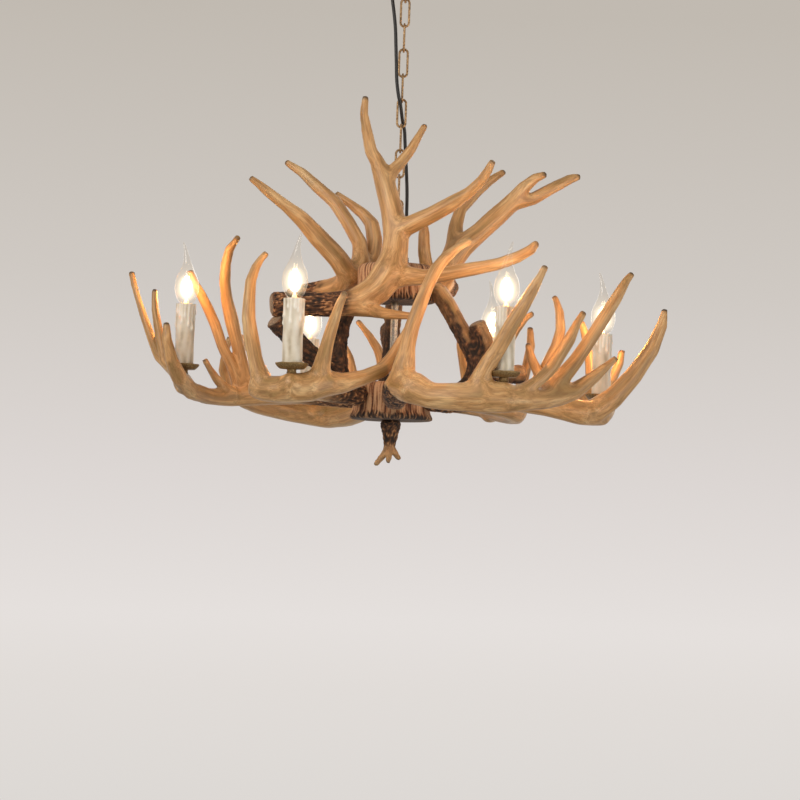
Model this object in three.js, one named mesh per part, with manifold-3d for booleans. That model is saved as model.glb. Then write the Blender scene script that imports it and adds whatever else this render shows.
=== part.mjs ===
// Antler chandelier: six cast antlers and six candles round a lower hub, three antlers on an upper hub,
// bark braces between the hubs, and a link chain with its supply cord up to a ceiling canopy.
// Millimetres, +Z up. The origin is the middle of the ceiling face, and everything hangs below it.
import * as THREE from "three";
import { mergeVertices } from "three/addons/utils/BufferGeometryUtils.js";
import Module from "manifold-3d";

const wasm = await Module();
wasm.setup();

// Driving dimensions, in millimetres.
const seatGap = 0.3; // left between pieces that rest on or butt against each other
const cutOverrun = 5; // how far a cut runs past the faces it passes
const layoutUnit = 145; // the antler tables are shares of this length
const tineTipShare = 0.026; // no limb ends thinner than this share of the layout unit
const viewDistance = 3900; // from how far the antlers' front layout is seen
const viewRiseShare = 0.0576; // how much lower a point looks for each length that it stands back
const viewLeanShare = 0.035; // the view's lean to the right
const candleRingShare = 2.09; // candle ring's radius as a share of the layout unit
const candleMargin = 1.5; // kept clear round a candle
const hub = { radius: 56, rimRadius: 60, height: 54, rimHeight: 7, topRadius: 50, bevel: 8 };
const lowerHubDrop = 30; // ring level down to the lower hub's underside
const hubSpacingShare = 1.1862; // hubs' underside to underside as a share of the layout unit
const rod = { radius: 5.5 };
const finial = { burrRadius: 15, burrHeight: 15, stemRadius: 12, stemLength: 20, stemTipRadius: 8.4 };
const prong = { length: 34, rootRadius: 6.5, tipRadius: 3, spread: 15, overlap: 4 };
const cup = { radius: 22.5, wall: 2, depth: 6, footRadius: 7, footHeight: 6 };
const boss = { radius: 15, footRadius: 8, height: 28 };
const sleeve = { radius: 14, wall: 2, length: 93, dripRadius: 15.2, dripHeight: 6 };
const socket = { radius: 11, topDrop: 3, boreRadius: 7.6, boreDepth: 24 };
const bulb = { capRadius: 7, radius: 17.5, bodyHeight: 46, tailLength: 44, tailBend: 7 };
const bulbShares = [[0.62, 0.06], [0.9, 0.28], [1, 0.5], [0.93, 0.75], [0.66, 1]]; // [radius, body height]
const tailShares = [[0.36, 0.32], [0.18, 0.68], [0.07, 1]]; // [radius, tail length]
const link = { pitch: 37, wire: 3.3, width: 15.5, count: 10 };
const loop = { wire: 4, width: 21, collarRadius: 12, collarTopRadius: 8.4, collarHeight: 6 };
const canopy = { radius: 56, baseRadius: 46, height: 30, wall: 2 };
const stud = { radius: 4 };
const bracket = { length: 84, width: 20, thickness: 3 };
const screw = { radius: 2, headRadius: 4.5, headHeight: 3, inset: 9 };
const cord = { radius: 2.5, step: 12.5 };
const grip = { radius: 5, length: 12, lead: 6 };
const bendSteps = 6; // round the half circle at each end of a link
const ringStep = 32; // spacing of the rings along an antler
const sides = { limb: 6, wire: 6, cord: 8, round: 18, small: 12 };

const hubSpacing = layoutUnit * hubSpacingShare;
const socketLength = sleeve.length - socket.topDrop;
const screwSpacing = bracket.length - screw.inset * 2;

// Heights above the ring level, which is where the candle branches run.
const lowerHubBase = -lowerHubDrop;
const upperHubBase = lowerHubBase + hubSpacing;
const upperHubTop = upperHubBase + hub.height;
const loopReach = loop.collarHeight + loop.width - loop.wire * 1.5; // collar's face to the far bar's middle
const linkInner = link.pitch + seatGap;
const chainFoot = upperHubTop + loopReach - (loop.wire + link.wire) / 2; // lowest bar's middle
const chainHead = chainFoot + link.pitch * (link.count - 1) + linkInner + link.wire; // topmost bar's middle
const canopyBase = chainHead - (loop.wire + link.wire) / 2 + loopReach;
const ringDrop = canopyBase + canopy.height;

const resinTan = new THREE.MeshStandardMaterial({ color: 0xb08a5a, roughness: 0.55, metalness: 0 });
const barkBrown = new THREE.MeshStandardMaterial({ color: 0x3a2a20, roughness: 0.85, metalness: 0 });
const hubBrown = new THREE.MeshStandardMaterial({ color: 0x8a6248, roughness: 0.8, metalness: 0 });
const bronze = new THREE.MeshStandardMaterial({ color: 0x6e5236, roughness: 0.45, metalness: 0.8 });
const ivoryWax = new THREE.MeshStandardMaterial({ color: 0xd9ceb8, roughness: 0.5, metalness: 0 });
const whiteCeramic = new THREE.MeshStandardMaterial({ color: 0xe8e6e0, roughness: 0.35, metalness: 0 });
const clearGlass = new THREE.MeshStandardMaterial({ color: 0xfff2d8, roughness: 0.05, metalness: 0 });
const steel = new THREE.MeshStandardMaterial({ color: 0x9a9a9a, roughness: 0.4, metalness: 1 });
const blackRubber = new THREE.MeshStandardMaterial({ color: 0x141414, roughness: 0.6, metalness: 0 });

const fixture = new THREE.Group();
fixture.position.z = -ringDrop;
const ceiling = new THREE.Group();
const chandelier = new THREE.Group();
chandelier.add(fixture, ceiling);

// Solids and meshes
function solidFrom(geometry) {
  const bare = geometry.clone();
  bare.deleteAttribute("normal");
  bare.deleteAttribute("uv");
  const merged = mergeVertices(bare, 1e-4);
  const triVerts = new Uint32Array(merged.index.array);
  const vertProperties = merged.attributes.position.array;
  return new wasm.Manifold(new wasm.Mesh({ numProp: 3, vertProperties, triVerts }));
}

function geometryFrom(solid) {
  const { vertProperties, triVerts } = solid.getMesh();
  const geometry = new THREE.BufferGeometry();
  geometry.setAttribute("position", new THREE.BufferAttribute(vertProperties, 3));
  geometry.setIndex(new THREE.BufferAttribute(triVerts, 1));
  geometry.computeVertexNormals();
  return geometry;
}

function addMesh(group, name, geometry, material) {
  const mesh = new THREE.Mesh(geometry, material);
  mesh.name = name;
  group.add(mesh);
  return mesh;
}

// A tube through centres with its own radius at each, closed by flat ends or onto itself.
function tubeGeometry(centres, radii, sideCount, isRing = false) {
  const count = centres.length;
  const positions = [];
  const index = [];
  let normal = null;
  for (let i = 0; i < count; i++) {
    const before = isRing ? centres[(i + count - 1) % count] : centres[Math.max(i - 1, 0)];
    const after = isRing ? centres[(i + 1) % count] : centres[Math.min(i + 1, count - 1)];
    const tangent = after.clone().sub(before).normalize();
    if (!normal) {
      const runsBack = Math.abs(tangent.y) > Math.abs(tangent.x) + Math.abs(tangent.z);
      normal = runsBack ? new THREE.Vector3(1, 0, 0) : new THREE.Vector3(0, 1, 0);
    }
    normal.addScaledVector(tangent, -normal.dot(tangent)).normalize();
    const binormal = tangent.clone().cross(normal);
    for (let j = 0; j < sideCount; j++) {
      const angle = (j / sideCount) * Math.PI * 2;
      const corner = centres[i].clone();
      corner.addScaledVector(normal, Math.cos(angle) * radii[i]);
      corner.addScaledVector(binormal, Math.sin(angle) * radii[i]);
      positions.push(corner.x, corner.y, corner.z);
    }
  }
  const lastRing = isRing ? count : count - 1;
  for (let i = 0; i < lastRing; i++) {
    for (let j = 0; j < sideCount; j++) {
      const a = i * sideCount + j;
      const b = i * sideCount + ((j + 1) % sideCount);
      const c = ((i + 1) % count) * sideCount + j;
      const d = ((i + 1) % count) * sideCount + ((j + 1) % sideCount);
      index.push(a, b, d, a, d, c);
    }
  }
  if (!isRing) {
    const start = positions.length / 3;
    positions.push(...centres[0].toArray(), ...centres[count - 1].toArray());
    for (let j = 0; j < sideCount; j++) {
      const next = (j + 1) % sideCount;
      const far = (count - 1) * sideCount;
      index.push(start, next, j);
      index.push(start + 1, far + j, far + next);
    }
  }
  const geometry = new THREE.BufferGeometry();
  geometry.setAttribute("position", new THREE.Float32BufferAttribute(positions, 3));
  geometry.setIndex(index);
  return geometry;
}

// Antlers are laid out as they look from the front: a row is how far right and up of the lower hub,
// how far back, and how thick, all as shares of the layout unit. The view looks up a little and leans.
function placeOf([rightShare, upShare, backShare]) {
  const back = backShare * layoutUnit;
  const spread = layoutUnit * (1 + back / viewDistance);
  const right = (rightShare - viewLeanShare * upShare) * spread;
  const up = (upShare + viewLeanShare * rightShare) * spread + viewRiseShare * back;
  return new THREE.Vector3(right, back, up);
}

// One limb: rings along a smooth curve through the rows, grown all round by the given amount.
function limbSolid(rows, grow) {
  const points = rows.map(placeOf);
  const curve = new THREE.CatmullRomCurve3(points, false, "centripetal");
  const centres = [];
  const radii = [];
  for (let i = 0; i < rows.length - 1; i++) {
    const steps = Math.max(1, Math.round(points[i].distanceTo(points[i + 1]) / ringStep));
    const last = i === rows.length - 2;
    for (let s = 0; s < steps + (last ? 1 : 0); s++) {
      const along = s / steps;
      centres.push(curve.getPoint((i + along) / (rows.length - 1)));
      const across = THREE.MathUtils.lerp(rows[i][3], rows[i + 1][3], along);
      radii.push(Math.max(across, tineTipShare) * layoutUnit + grow);
    }
  }
  if (grow > 0) {
    const endStep = centres[centres.length - 1].clone().sub(centres[centres.length - 2]).normalize();
    centres[centres.length - 1].addScaledVector(endStep, grow);
    const startStep = centres[0].clone().sub(centres[1]).normalize();
    centres[0].addScaledVector(startStep, grow);
  }
  return solidFrom(tubeGeometry(centres, radii, sides.limb));
}

function joined(solids) {
  return solids.reduce((sum, next) => sum.add(next));
}

// Antler tables: rows of [right, up, back, radius] as shares of the layout unit.
const leftAntlerShares = {
  beam: [
    [-0.2, 0.03, 0.1, 0.13], [-0.5, 0.05, 0.26, 0.135], [-0.9, 0.08, 0.46, 0.135],
    [-1.3, 0.06, 0.64, 0.125], [-1.58, 0.03, 0.62, 0.1], [-1.84, 0.035, 0.34, 0.085],
    [-2.0, 0.09, 0.06, 0.09], [-2.12, 0.22, -0.2, 0.085], [-2.2, 0.4, -0.35, 0.07],
    [-2.245, 0.6, -0.4, 0.045], [-2.25, 0.77, -0.4, 0.014],
  ],
  outerTine: [
    [-2.14, 0.26, -0.2, 0.07], [-2.32, 0.43, -0.05, 0.055], [-2.4, 0.62, 0.05, 0.042],
    [-2.48, 0.84, 0.12, 0.033], [-2.53, 0.99, 0.17, 0.028], [-2.575, 1.14, 0.2, 0.021],
    [-2.605, 1.28, 0.22, 0.01],
  ],
  middleTine: [
    [-2.15, 0.26, -0.2, 0.06], [-2.27, 0.4, -0.2, 0.05], [-2.3, 0.56, -0.18, 0.045],
    [-2.34, 0.75, -0.15, 0.04], [-2.365, 0.9, -0.12, 0.032], [-2.372, 1.03, -0.1, 0.021],
    [-2.37, 1.1, -0.1, 0.01],
  ],
  spur: [
    [-1.6, 0.05, 0.56, 0.08], [-1.67, 0.12, 0.5, 0.06], [-1.76, 0.22, 0.44, 0.038], [-1.83, 0.33, 0.4, 0.022],
    [-1.868, 0.4, 0.38, 0.01],
  ],
  innerTine: [
    [-1.5, 0.08, 0.64, 0.09], [-1.55, 0.2, 0.62, 0.065], [-1.6, 0.34, 0.6, 0.058],
    [-1.7, 0.55, 0.55, 0.055], [-1.765, 0.75, 0.5, 0.055], [-1.835, 0.91, 0.46, 0.053],
    [-1.905, 1.05, 0.42, 0.047], [-1.975, 1.18, 0.38, 0.034], [-2.02, 1.29, 0.35, 0.012],
  ],
  browTine: [
    [-1.42, 0.06, 0.66, 0.1], [-1.47, 0.2, 0.66, 0.08], [-1.505, 0.4, 0.64, 0.067],
    [-1.565, 0.64, 0.6, 0.072], [-1.605, 0.81, 0.55, 0.075], [-1.65, 1.0, 0.48, 0.065],
    [-1.67, 1.19, 0.4, 0.056], [-1.66, 1.37, 0.3, 0.05], [-1.625, 1.51, 0.2, 0.042],
    [-1.575, 1.58, 0.12, 0.028], [-1.54, 1.63, 0.06, 0.01],
  ],
};

const frontLeftAntlerShares = {
  root: [
    [-0.2, 0.03, -0.12, 0.12], [-0.52, 0.08, -0.48, 0.12], [-0.88, 0.12, -0.95, 0.12],
    [-1.15, 0.12, -1.35, 0.12], [-1.28, 0.12, -1.56, 0.12],
  ],
  beam: [
    [-1.38, 0.13, -1.6, 0.1], [-1.28, 0.11, -1.66, 0.12], [-1.14, 0.1, -1.75, 0.13],
    [-0.98, 0.115, -1.8, 0.14], [-0.8, 0.13, -1.8, 0.145], [-0.64, 0.165, -1.75, 0.13],
    [-0.48, 0.165, -1.65, 0.1], [-0.265, 0.225, -1.5, 0.075], [-0.1, 0.29, -1.36, 0.075],
    [0.005, 0.41, -1.28, 0.07], [0.085, 0.54, -1.22, 0.06], [0.155, 0.67, -1.2, 0.04],
    [0.195, 0.775, -1.2, 0.013],
  ],
  browTine: [
    [-1.29, 0.13, -1.66, 0.1], [-1.325, 0.28, -1.66, 0.085], [-1.36, 0.42, -1.66, 0.073],
    [-1.4, 0.64, -1.66, 0.073], [-1.425, 0.82, -1.65, 0.068], [-1.42, 1.01, -1.62, 0.057],
    [-1.405, 1.19, -1.58, 0.048], [-1.355, 1.33, -1.53, 0.038], [-1.305, 1.41, -1.5, 0.028],
    [-1.25, 1.47, -1.48, 0.01],
  ],
  middleTine: [
    [-0.73, 0.15, -1.76, 0.12], [-0.695, 0.32, -1.82, 0.09], [-0.665, 0.45, -1.87, 0.072],
    [-0.63, 0.59, -1.92, 0.06], [-0.57, 0.79, -1.98, 0.05], [-0.515, 0.95, -2.03, 0.037],
    [-0.46, 1.075, -2.06, 0.01],
  ],
};

const frontRightAntlerShares = {
  beam: [
    [0.03, 0.03, -0.2, 0.13], [0.04, 0.03, -0.6, 0.13], [0.05, 0.06, -1.1, 0.135], [0.09, 0.15, -1.5, 0.15],
    [0.22, 0.12, -1.68, 0.16], [0.4, 0.04, -1.74, 0.125], [0.68, 0.03, -1.8, 0.14],
    [0.94, 0.03, -1.83, 0.155], [1.15, 0.015, -1.8, 0.145], [1.34, -0.005, -1.72, 0.105],
    [1.5, 0.01, -1.6, 0.105], [1.66, 0.04, -1.45, 0.11], [1.84, 0.09, -1.36, 0.085],
    [2.02, 0.22, -1.32, 0.06], [2.19, 0.365, -1.3, 0.028], [2.25, 0.415, -1.3, 0.01],
  ],
  browTine: [
    [0.1, 0.16, -1.52, 0.14], [0.135, 0.35, -1.55, 0.11], [0.165, 0.53, -1.56, 0.08],
    [0.21, 0.73, -1.55, 0.073], [0.28, 0.92, -1.53, 0.07], [0.365, 1.14, -1.49, 0.065],
    [0.445, 1.3, -1.45, 0.06], [0.53, 1.41, -1.41, 0.053], [0.66, 1.52, -1.36, 0.036],
    [0.8, 1.6, -1.3, 0.01],
  ],
  bossTine: [
    [0.85, 0.08, -1.8, 0.12], [0.92, 0.24, -1.84, 0.105], [0.985, 0.37, -1.88, 0.09],
    [1.075, 0.51, -1.92, 0.08], [1.205, 0.74, -1.98, 0.075], [1.32, 0.93, -2.02, 0.066],
    [1.42, 1.1, -2.05, 0.05], [1.5, 1.24, -2.07, 0.03], [1.55, 1.34, -2.08, 0.01],
  ],
  shortTine: [
    [1.2, 0.03, -1.78, 0.1], [1.33, 0.1, -1.74, 0.07], [1.475, 0.19, -1.7, 0.058], [1.62, 0.33, -1.67, 0.056],
    [1.785, 0.6, -1.64, 0.056], [1.86, 0.76, -1.62, 0.035], [1.93, 0.875, -1.61, 0.01],
  ],
  tallTine: [
    [1.5, 0.02, -1.58, 0.1], [1.565, 0.09, -1.5, 0.1], [1.7, 0.21, -1.42, 0.088],
    [1.85, 0.39, -1.34, 0.076], [1.99, 0.6, -1.28, 0.068], [2.13, 0.82, -1.22, 0.065],
    [2.25, 1.01, -1.17, 0.058], [2.36, 1.2, -1.13, 0.033], [2.415, 1.265, -1.12, 0.01],
  ],
};

const rightAntlerShares = {
  beam: [
    [0.25, 0.0, -0.12, 0.11], [0.55, -0.03, -0.26, 0.11], [1.05, 0.0, -0.38, 0.11], [1.55, -0.05, -0.5, 0.12],
    [1.9, -0.13, -0.5, 0.13], [2.08, -0.14, -0.28, 0.13], [2.12, -0.1, 0.0, 0.12], [2.04, -0.06, 0.3, 0.11],
    [1.88, 0.0, 0.58, 0.1], [1.66, 0.08, 0.78, 0.08], [1.5, 0.2, 0.86, 0.065], [1.4, 0.4, 0.9, 0.045],
    [1.36, 0.56, 0.92, 0.012],
  ],
  browTine: [
    [2.02, -0.12, -0.4, 0.13], [2.22, 0.02, -0.42, 0.11], [2.42, 0.24, -0.42, 0.093], [2.6, 0.5, -0.4, 0.08],
    [2.71, 0.75, -0.37, 0.055], [2.735, 0.87, -0.36, 0.03], [2.735, 0.905, -0.36, 0.01],
  ],
  spur: [
    [2.1, -0.08, 0.12, 0.08], [2.13, 0.06, 0.3, 0.058], [2.2, 0.2, 0.4, 0.05], [2.28, 0.37, 0.42, 0.04],
    [2.305, 0.49, 0.43, 0.012],
  ],
  middleTine: [
    [2.0, -0.04, 0.38, 0.1], [2.0, 0.15, 0.48, 0.07], [1.99, 0.38, 0.55, 0.06], [1.95, 0.6, 0.58, 0.045],
    [1.9, 0.78, 0.58, 0.012],
  ],
};

const rearRightAntlerShares = {
  beam: [
    [0.2, 0.03, 0.15, 0.11], [0.65, 0.0, 0.46, 0.11], [1.05, -0.06, 0.76, 0.115], [1.24, -0.12, 1.02, 0.12],
    [1.18, -0.13, 1.4, 0.13], [1.02, -0.09, 1.76, 0.135], [0.75, -0.04, 1.98, 0.12], [0.4, -0.03, 2.08, 0.1],
    [0.1, -0.06, 2.14, 0.1], [-0.12, -0.12, 2.2, 0.1], [-0.3, -0.05, 2.32, 0.07], [-0.36, 0.12, 2.4, 0.045],
    [-0.38, 0.3, 2.44, 0.012],
  ],
  browTine: [
    [1.24, -0.1, 0.98, 0.11], [1.37, 0.07, 0.94, 0.08], [1.465, 0.2, 0.92, 0.068], [1.555, 0.35, 0.92, 0.065],
    [1.645, 0.53, 0.94, 0.06], [1.69, 0.7, 0.96, 0.05], [1.68, 0.88, 0.98, 0.04], [1.645, 1.0, 1.0, 0.02],
    [1.625, 1.035, 1.0, 0.01],
  ],
  bossTine: [
    [1.2, -0.08, 1.2, 0.1], [1.29, 0.12, 1.2, 0.065], [1.35, 0.34, 1.22, 0.048], [1.39, 0.54, 1.25, 0.042],
    [1.385, 0.72, 1.28, 0.012],
  ],
  innerTine: [
    [0.86, -0.04, 1.92, 0.1], [1.0, 0.2, 2.12, 0.075], [1.1, 0.45, 2.2, 0.055], [1.24, 0.7, 2.24, 0.045],
    [1.34, 0.82, 2.26, 0.03], [1.41, 0.865, 2.27, 0.01],
  ],
  tallTine: [
    [0.66, -0.02, 2.0, 0.1], [0.75, 0.16, 1.96, 0.065], [0.72, 0.36, 1.92, 0.058], [0.69, 0.55, 1.9, 0.05],
    [0.7, 0.72, 1.88, 0.012],
  ],
  shortTine: [
    [0.0, -0.08, 2.16, 0.09], [-0.09, 0.2, 2.12, 0.062], [-0.11, 0.4, 2.1, 0.054], [-0.14, 0.5, 2.1, 0.048],
    [-0.22, 0.63, 2.08, 0.038], [-0.29, 0.72, 2.06, 0.026], [-0.345, 0.79, 2.05, 0.01],
  ],
};

const rearLeftAntlerShares = {
  beam: [
    [-0.02, 0.03, 0.2, 0.13], [-0.1, 0.0, 0.8, 0.13], [-0.26, -0.07, 1.4, 0.13],
    [-0.45, -0.15, 1.75, 0.135], [-0.64, -0.17, 1.92, 0.13], [-0.84, -0.14, 1.95, 0.13],
    [-1.2, -0.07, 1.78, 0.12], [-1.46, 0.0, 1.5, 0.1], [-1.62, 0.12, 1.28, 0.075],
    [-1.68, 0.3, 1.16, 0.055], [-1.66, 0.5, 1.1, 0.035], [-1.62, 0.62, 1.08, 0.012],
  ],
  browTine: [
    [-0.5, -0.14, 1.82, 0.12], [-0.42, 0.05, 1.95, 0.08], [-0.4, 0.25, 2.02, 0.065],
    [-0.43, 0.42, 2.05, 0.05], [-0.48, 0.55, 2.06, 0.012],
  ],
  middleTine: [
    [-1.1, -0.08, 1.84, 0.1], [-1.2, 0.1, 1.95, 0.075], [-1.3, 0.3, 2.02, 0.06], [-1.42, 0.5, 2.06, 0.045],
    [-1.52, 0.64, 2.08, 0.012],
  ],
};

const frontUpperAntlerShares = {
  beam: [
    [-1.21, 0.955, -0.86, 0.13], [-0.92, 0.965, -0.82, 0.12], [-0.62, 0.95, -0.78, 0.125],
    [-0.36, 0.98, -0.72, 0.14], [-0.15, 1.1, -0.68, 0.16], [-0.01, 1.29, -0.64, 0.18],
    [0.03, 1.45, -0.6, 0.14], [0.05, 1.62, -0.56, 0.13], [0.025, 1.8, -0.52, 0.12],
    [-0.005, 1.95, -0.5, 0.112], [-0.045, 2.1, -0.48, 0.105], [-0.085, 2.25, -0.48, 0.1],
    [-0.145, 2.4, -0.49, 0.075], [-0.205, 2.5, -0.5, 0.062], [-0.245, 2.7, -0.52, 0.05],
    [-0.275, 2.88, -0.54, 0.035], [-0.26, 3.05, -0.55, 0.012],
  ],
  forkTine: [
    [-0.06, 2.2, -0.48, 0.09], [0.03, 2.32, -0.46, 0.065], [0.095, 2.385, -0.44, 0.055],
    [0.2, 2.52, -0.42, 0.045], [0.285, 2.67, -0.4, 0.03], [0.34, 2.765, -0.39, 0.01],
  ],
  rightTine: [
    [0.04, 1.7, -0.55, 0.11], [0.2, 1.76, -0.62, 0.095], [0.42, 1.865, -0.7, 0.085],
    [0.605, 1.97, -0.78, 0.08], [0.785, 2.085, -0.86, 0.055], [0.905, 2.2, -0.92, 0.045],
    [0.975, 2.31, -0.97, 0.038], [1.02, 2.4, -1.0, 0.012],
  ],
  lowTine: [
    [0.0, 1.24, -0.64, 0.13], [0.15, 1.24, -0.68, 0.105], [0.335, 1.23, -0.72, 0.078],
    [0.585, 1.27, -0.78, 0.075], [0.835, 1.315, -0.84, 0.07], [1.085, 1.365, -0.9, 0.06],
    [1.275, 1.435, -0.94, 0.055], [1.405, 1.51, -0.97, 0.045], [1.465, 1.58, -0.98, 0.012],
  ],
  spur: [
    [-0.36, 0.94, -0.73, 0.11], [-0.2, 0.9, -0.75, 0.075], [-0.05, 0.86, -0.76, 0.05],
    [0.12, 0.845, -0.76, 0.034], [0.215, 0.84, -0.76, 0.011],
  ],
};

const rightUpperAntlerShares = {
  beam: [
    [0.56, 1.12, 0.9, 0.12], [0.52, 1.14, 0.55, 0.12], [0.5, 1.2, 0.25, 0.125], [0.56, 1.34, 0.14, 0.125],
    [0.7, 1.53, 0.16, 0.12], [0.89, 1.69, 0.2, 0.1], [1.065, 1.85, 0.24, 0.1], [1.22, 1.99, 0.28, 0.095],
    [1.42, 2.02, 0.32, 0.066], [1.605, 2.125, 0.36, 0.057], [1.795, 2.22, 0.4, 0.045],
    [1.89, 2.245, 0.42, 0.012],
  ],
  forkTine: [
    [1.18, 1.96, 0.27, 0.085], [1.325, 2.13, 0.26, 0.07], [1.445, 2.23, 0.25, 0.045],
    [1.55, 2.268, 0.25, 0.011],
  ],
  middleTine: [
    [0.6, 1.4, 0.15, 0.12], [0.635, 1.55, 0.22, 0.1], [0.645, 1.75, 0.3, 0.075], [0.695, 1.92, 0.36, 0.065],
    [0.835, 2.07, 0.42, 0.055], [0.985, 2.2, 0.46, 0.04], [1.13, 2.295, 0.48, 0.011],
  ],
  innerTine: [
    [0.46, 1.16, 0.2, 0.1], [0.36, 1.28, 0.1, 0.075], [0.325, 1.5, 0.06, 0.065], [0.325, 1.66, 0.05, 0.055],
    [0.33, 1.79, 0.05, 0.012],
  ],
};

const leftUpperAntlerShares = {
  beam: [
    [-1.0, 1.02, 0.8, 0.12], [-0.72, 1.08, 0.52, 0.12], [-0.5, 1.14, 0.28, 0.125], [-0.42, 1.24, 0.14, 0.125],
    [-0.54, 1.42, 0.06, 0.11], [-0.735, 1.63, 0.0, 0.103], [-0.905, 1.82, -0.05, 0.085],
    [-1.065, 1.955, -0.09, 0.06], [-1.235, 2.085, -0.12, 0.05], [-1.335, 2.17, -0.14, 0.034],
    [-1.415, 2.23, -0.15, 0.011],
  ],
  middleTine: [
    [-0.4, 1.2, 0.18, 0.12], [-0.305, 1.4, 0.26, 0.1], [-0.323, 1.577, 0.32, 0.078],
    [-0.443, 1.792, 0.37, 0.073], [-0.568, 1.983, 0.41, 0.07], [-0.752, 2.144, 0.45, 0.06],
    [-0.897, 2.282, 0.48, 0.045], [-1.06, 2.39, 0.5, 0.026],
  ],
  innerTine: [
    [-0.38, 1.18, 0.24, 0.11], [-0.2, 1.38, 0.4, 0.09], [-0.17, 1.6, 0.48, 0.085], [-0.2, 1.77, 0.52, 0.077],
    [-0.285, 1.868, 0.55, 0.057], [-0.415, 1.968, 0.58, 0.04], [-0.56, 2.07, 0.61, 0.03],
  ],
};

// Bark braces: a curved limb from hub to hub and stubs with sawn ends.
const leftBraceShares = {
  limb: [
    [-0.2, 1.12, -0.12, 0.1], [-0.4, 0.98, -0.3, 0.09], [-0.5, 0.75, -0.42, 0.085],
    [-0.53, 0.5, -0.48, 0.085], [-0.52, 0.3, -0.5, 0.09], [-0.46, 0.1, -0.45, 0.09],
  ],
  stub: [
    [-0.52, 0.32, -0.49, 0.095], [-0.78, 0.42, -0.62, 0.1], [-1.0, 0.63, -0.74, 0.105],
    [-1.17, 0.82, -0.84, 0.11],
  ],
};
const rightBraceShares = {
  limb: [
    [0.3, 1.13, -0.1, 0.1], [0.47, 1.08, -0.16, 0.1], [0.56, 0.95, -0.22, 0.095],
    [0.655, 0.77, -0.28, 0.09], [0.77, 0.56, -0.34, 0.09],
    [0.86, 0.36, -0.36, 0.095], [0.8, 0.18, -0.34, 0.095], [0.62, 0.0, -0.28, 0.1],
  ],
  stub: [[0.86, 0.4, -0.35, 0.095], [0.93, 0.58, -0.4, 0.1], [0.845, 0.78, -0.44, 0.09]],
  spur: [[0.85, 0.3, -0.34, 0.09], [1.05, 0.25, -0.2, 0.095], [1.31, 0.26, 0.0, 0.1]],
};
const rearBraceShares = {
  limb: [
    [0.03, 1.12, 0.2, 0.1], [0.02, 0.92, 0.62, 0.09], [0.0, 0.65, 0.82, 0.085], [-0.02, 0.38, 0.86, 0.09],
    [-0.06, 0.04, 0.7, 0.095],
  ],
  stub: [[0.0, 0.5, 0.84, 0.09], [-0.02, 0.62, 1.06, 0.1], [-0.02, 0.72, 1.24, 0.105]],
};

// Candles: the way round from +X, the height of the sleeve's foot as a share of the sleeve, and the way
// round that the bulb's tail bends.
const candleTable = [
  { name: "left", turnDeg: 180, footShare: 0.38, tailDeg: 180 },
  { name: "front_left", turnDeg: 243.5, footShare: 0.25, tailDeg: 0 },
  { name: "front_right", turnDeg: 300, footShare: 0.24, tailDeg: 20 },
  { name: "right", turnDeg: 0, footShare: 0.13, tailDeg: 180 },
  { name: "rear_right", turnDeg: 60, footShare: 0.24, tailDeg: 160 },
  { name: "rear_left", turnDeg: 115.5, footShare: 0.13, tailDeg: 200 },
];
const candleRingRadius = layoutUnit * candleRingShare;
for (const candle of candleTable) {
  const turn = THREE.MathUtils.degToRad(candle.turnDeg);
  candle.x = Math.cos(turn) * candleRingRadius;
  candle.y = Math.sin(turn) * candleRingRadius;
  candle.foot = candle.footShare * sleeve.length;
}

function lathe(profile, segments = sides.round) {
  const points = profile.map(([r, z]) => new THREE.Vector2(r, z));
  const geometry = new THREE.LatheGeometry(points, segments);
  geometry.rotateX(Math.PI / 2);
  return geometry;
}

// A cast hub, grown all round by the given amount.
function hubGeometry(grow) {
  return lathe([
    [0, -grow],
    [hub.rimRadius + grow, -grow],
    [hub.rimRadius + grow, hub.rimHeight],
    [hub.radius + grow, hub.rimHeight + hub.bevel],
    [hub.radius + grow, hub.height - hub.bevel],
    [hub.topRadius + grow, hub.height + grow],
    [0, hub.height + grow],
  ]);
}

function raised(geometry, height) {
  geometry.translate(0, 0, height);
  return geometry;
}

addMesh(fixture, "lower_hub", raised(hubGeometry(0), lowerHubBase), hubBrown);
addMesh(fixture, "upper_hub", raised(hubGeometry(0), upperHubBase), hubBrown);
const hubSpace = joined([
  solidFrom(raised(hubGeometry(seatGap), lowerHubBase)),
  solidFrom(raised(hubGeometry(seatGap), upperHubBase)),
]);

// The room that a candle takes, with a margin, so that no antler reaches into it.
const cupFloor = sleeve.dripRadius + cup.wall / 2;
function candleSpace(candle) {
  const foot = -cup.footHeight - cup.wall;
  const top = sleeve.length + bulb.bodyHeight + bulb.tailLength;
  const geometry = lathe([
    [0, foot - seatGap],
    [cup.footRadius + candleMargin, foot - seatGap],
    [cup.footRadius + candleMargin, -cup.wall - candleMargin],
    [cupFloor + cup.wall, -cup.wall - candleMargin],
    [cup.radius + candleMargin, cup.depth - cup.wall - candleMargin],
    [cup.radius + candleMargin, cup.depth + candleMargin],
    [sleeve.dripRadius + candleMargin, cup.depth + candleMargin + cup.wall],
    [bulb.radius + candleMargin, sleeve.length],
    [bulb.radius + candleMargin, sleeve.length + bulb.bodyHeight],
    [bulb.tailBend + candleMargin, top],
    [0, top],
  ], sides.small);
  geometry.translate(candle.x, candle.y, candle.foot);
  return solidFrom(geometry);
}
const candleRoom = joined(candleTable.map(candleSpace));

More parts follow.
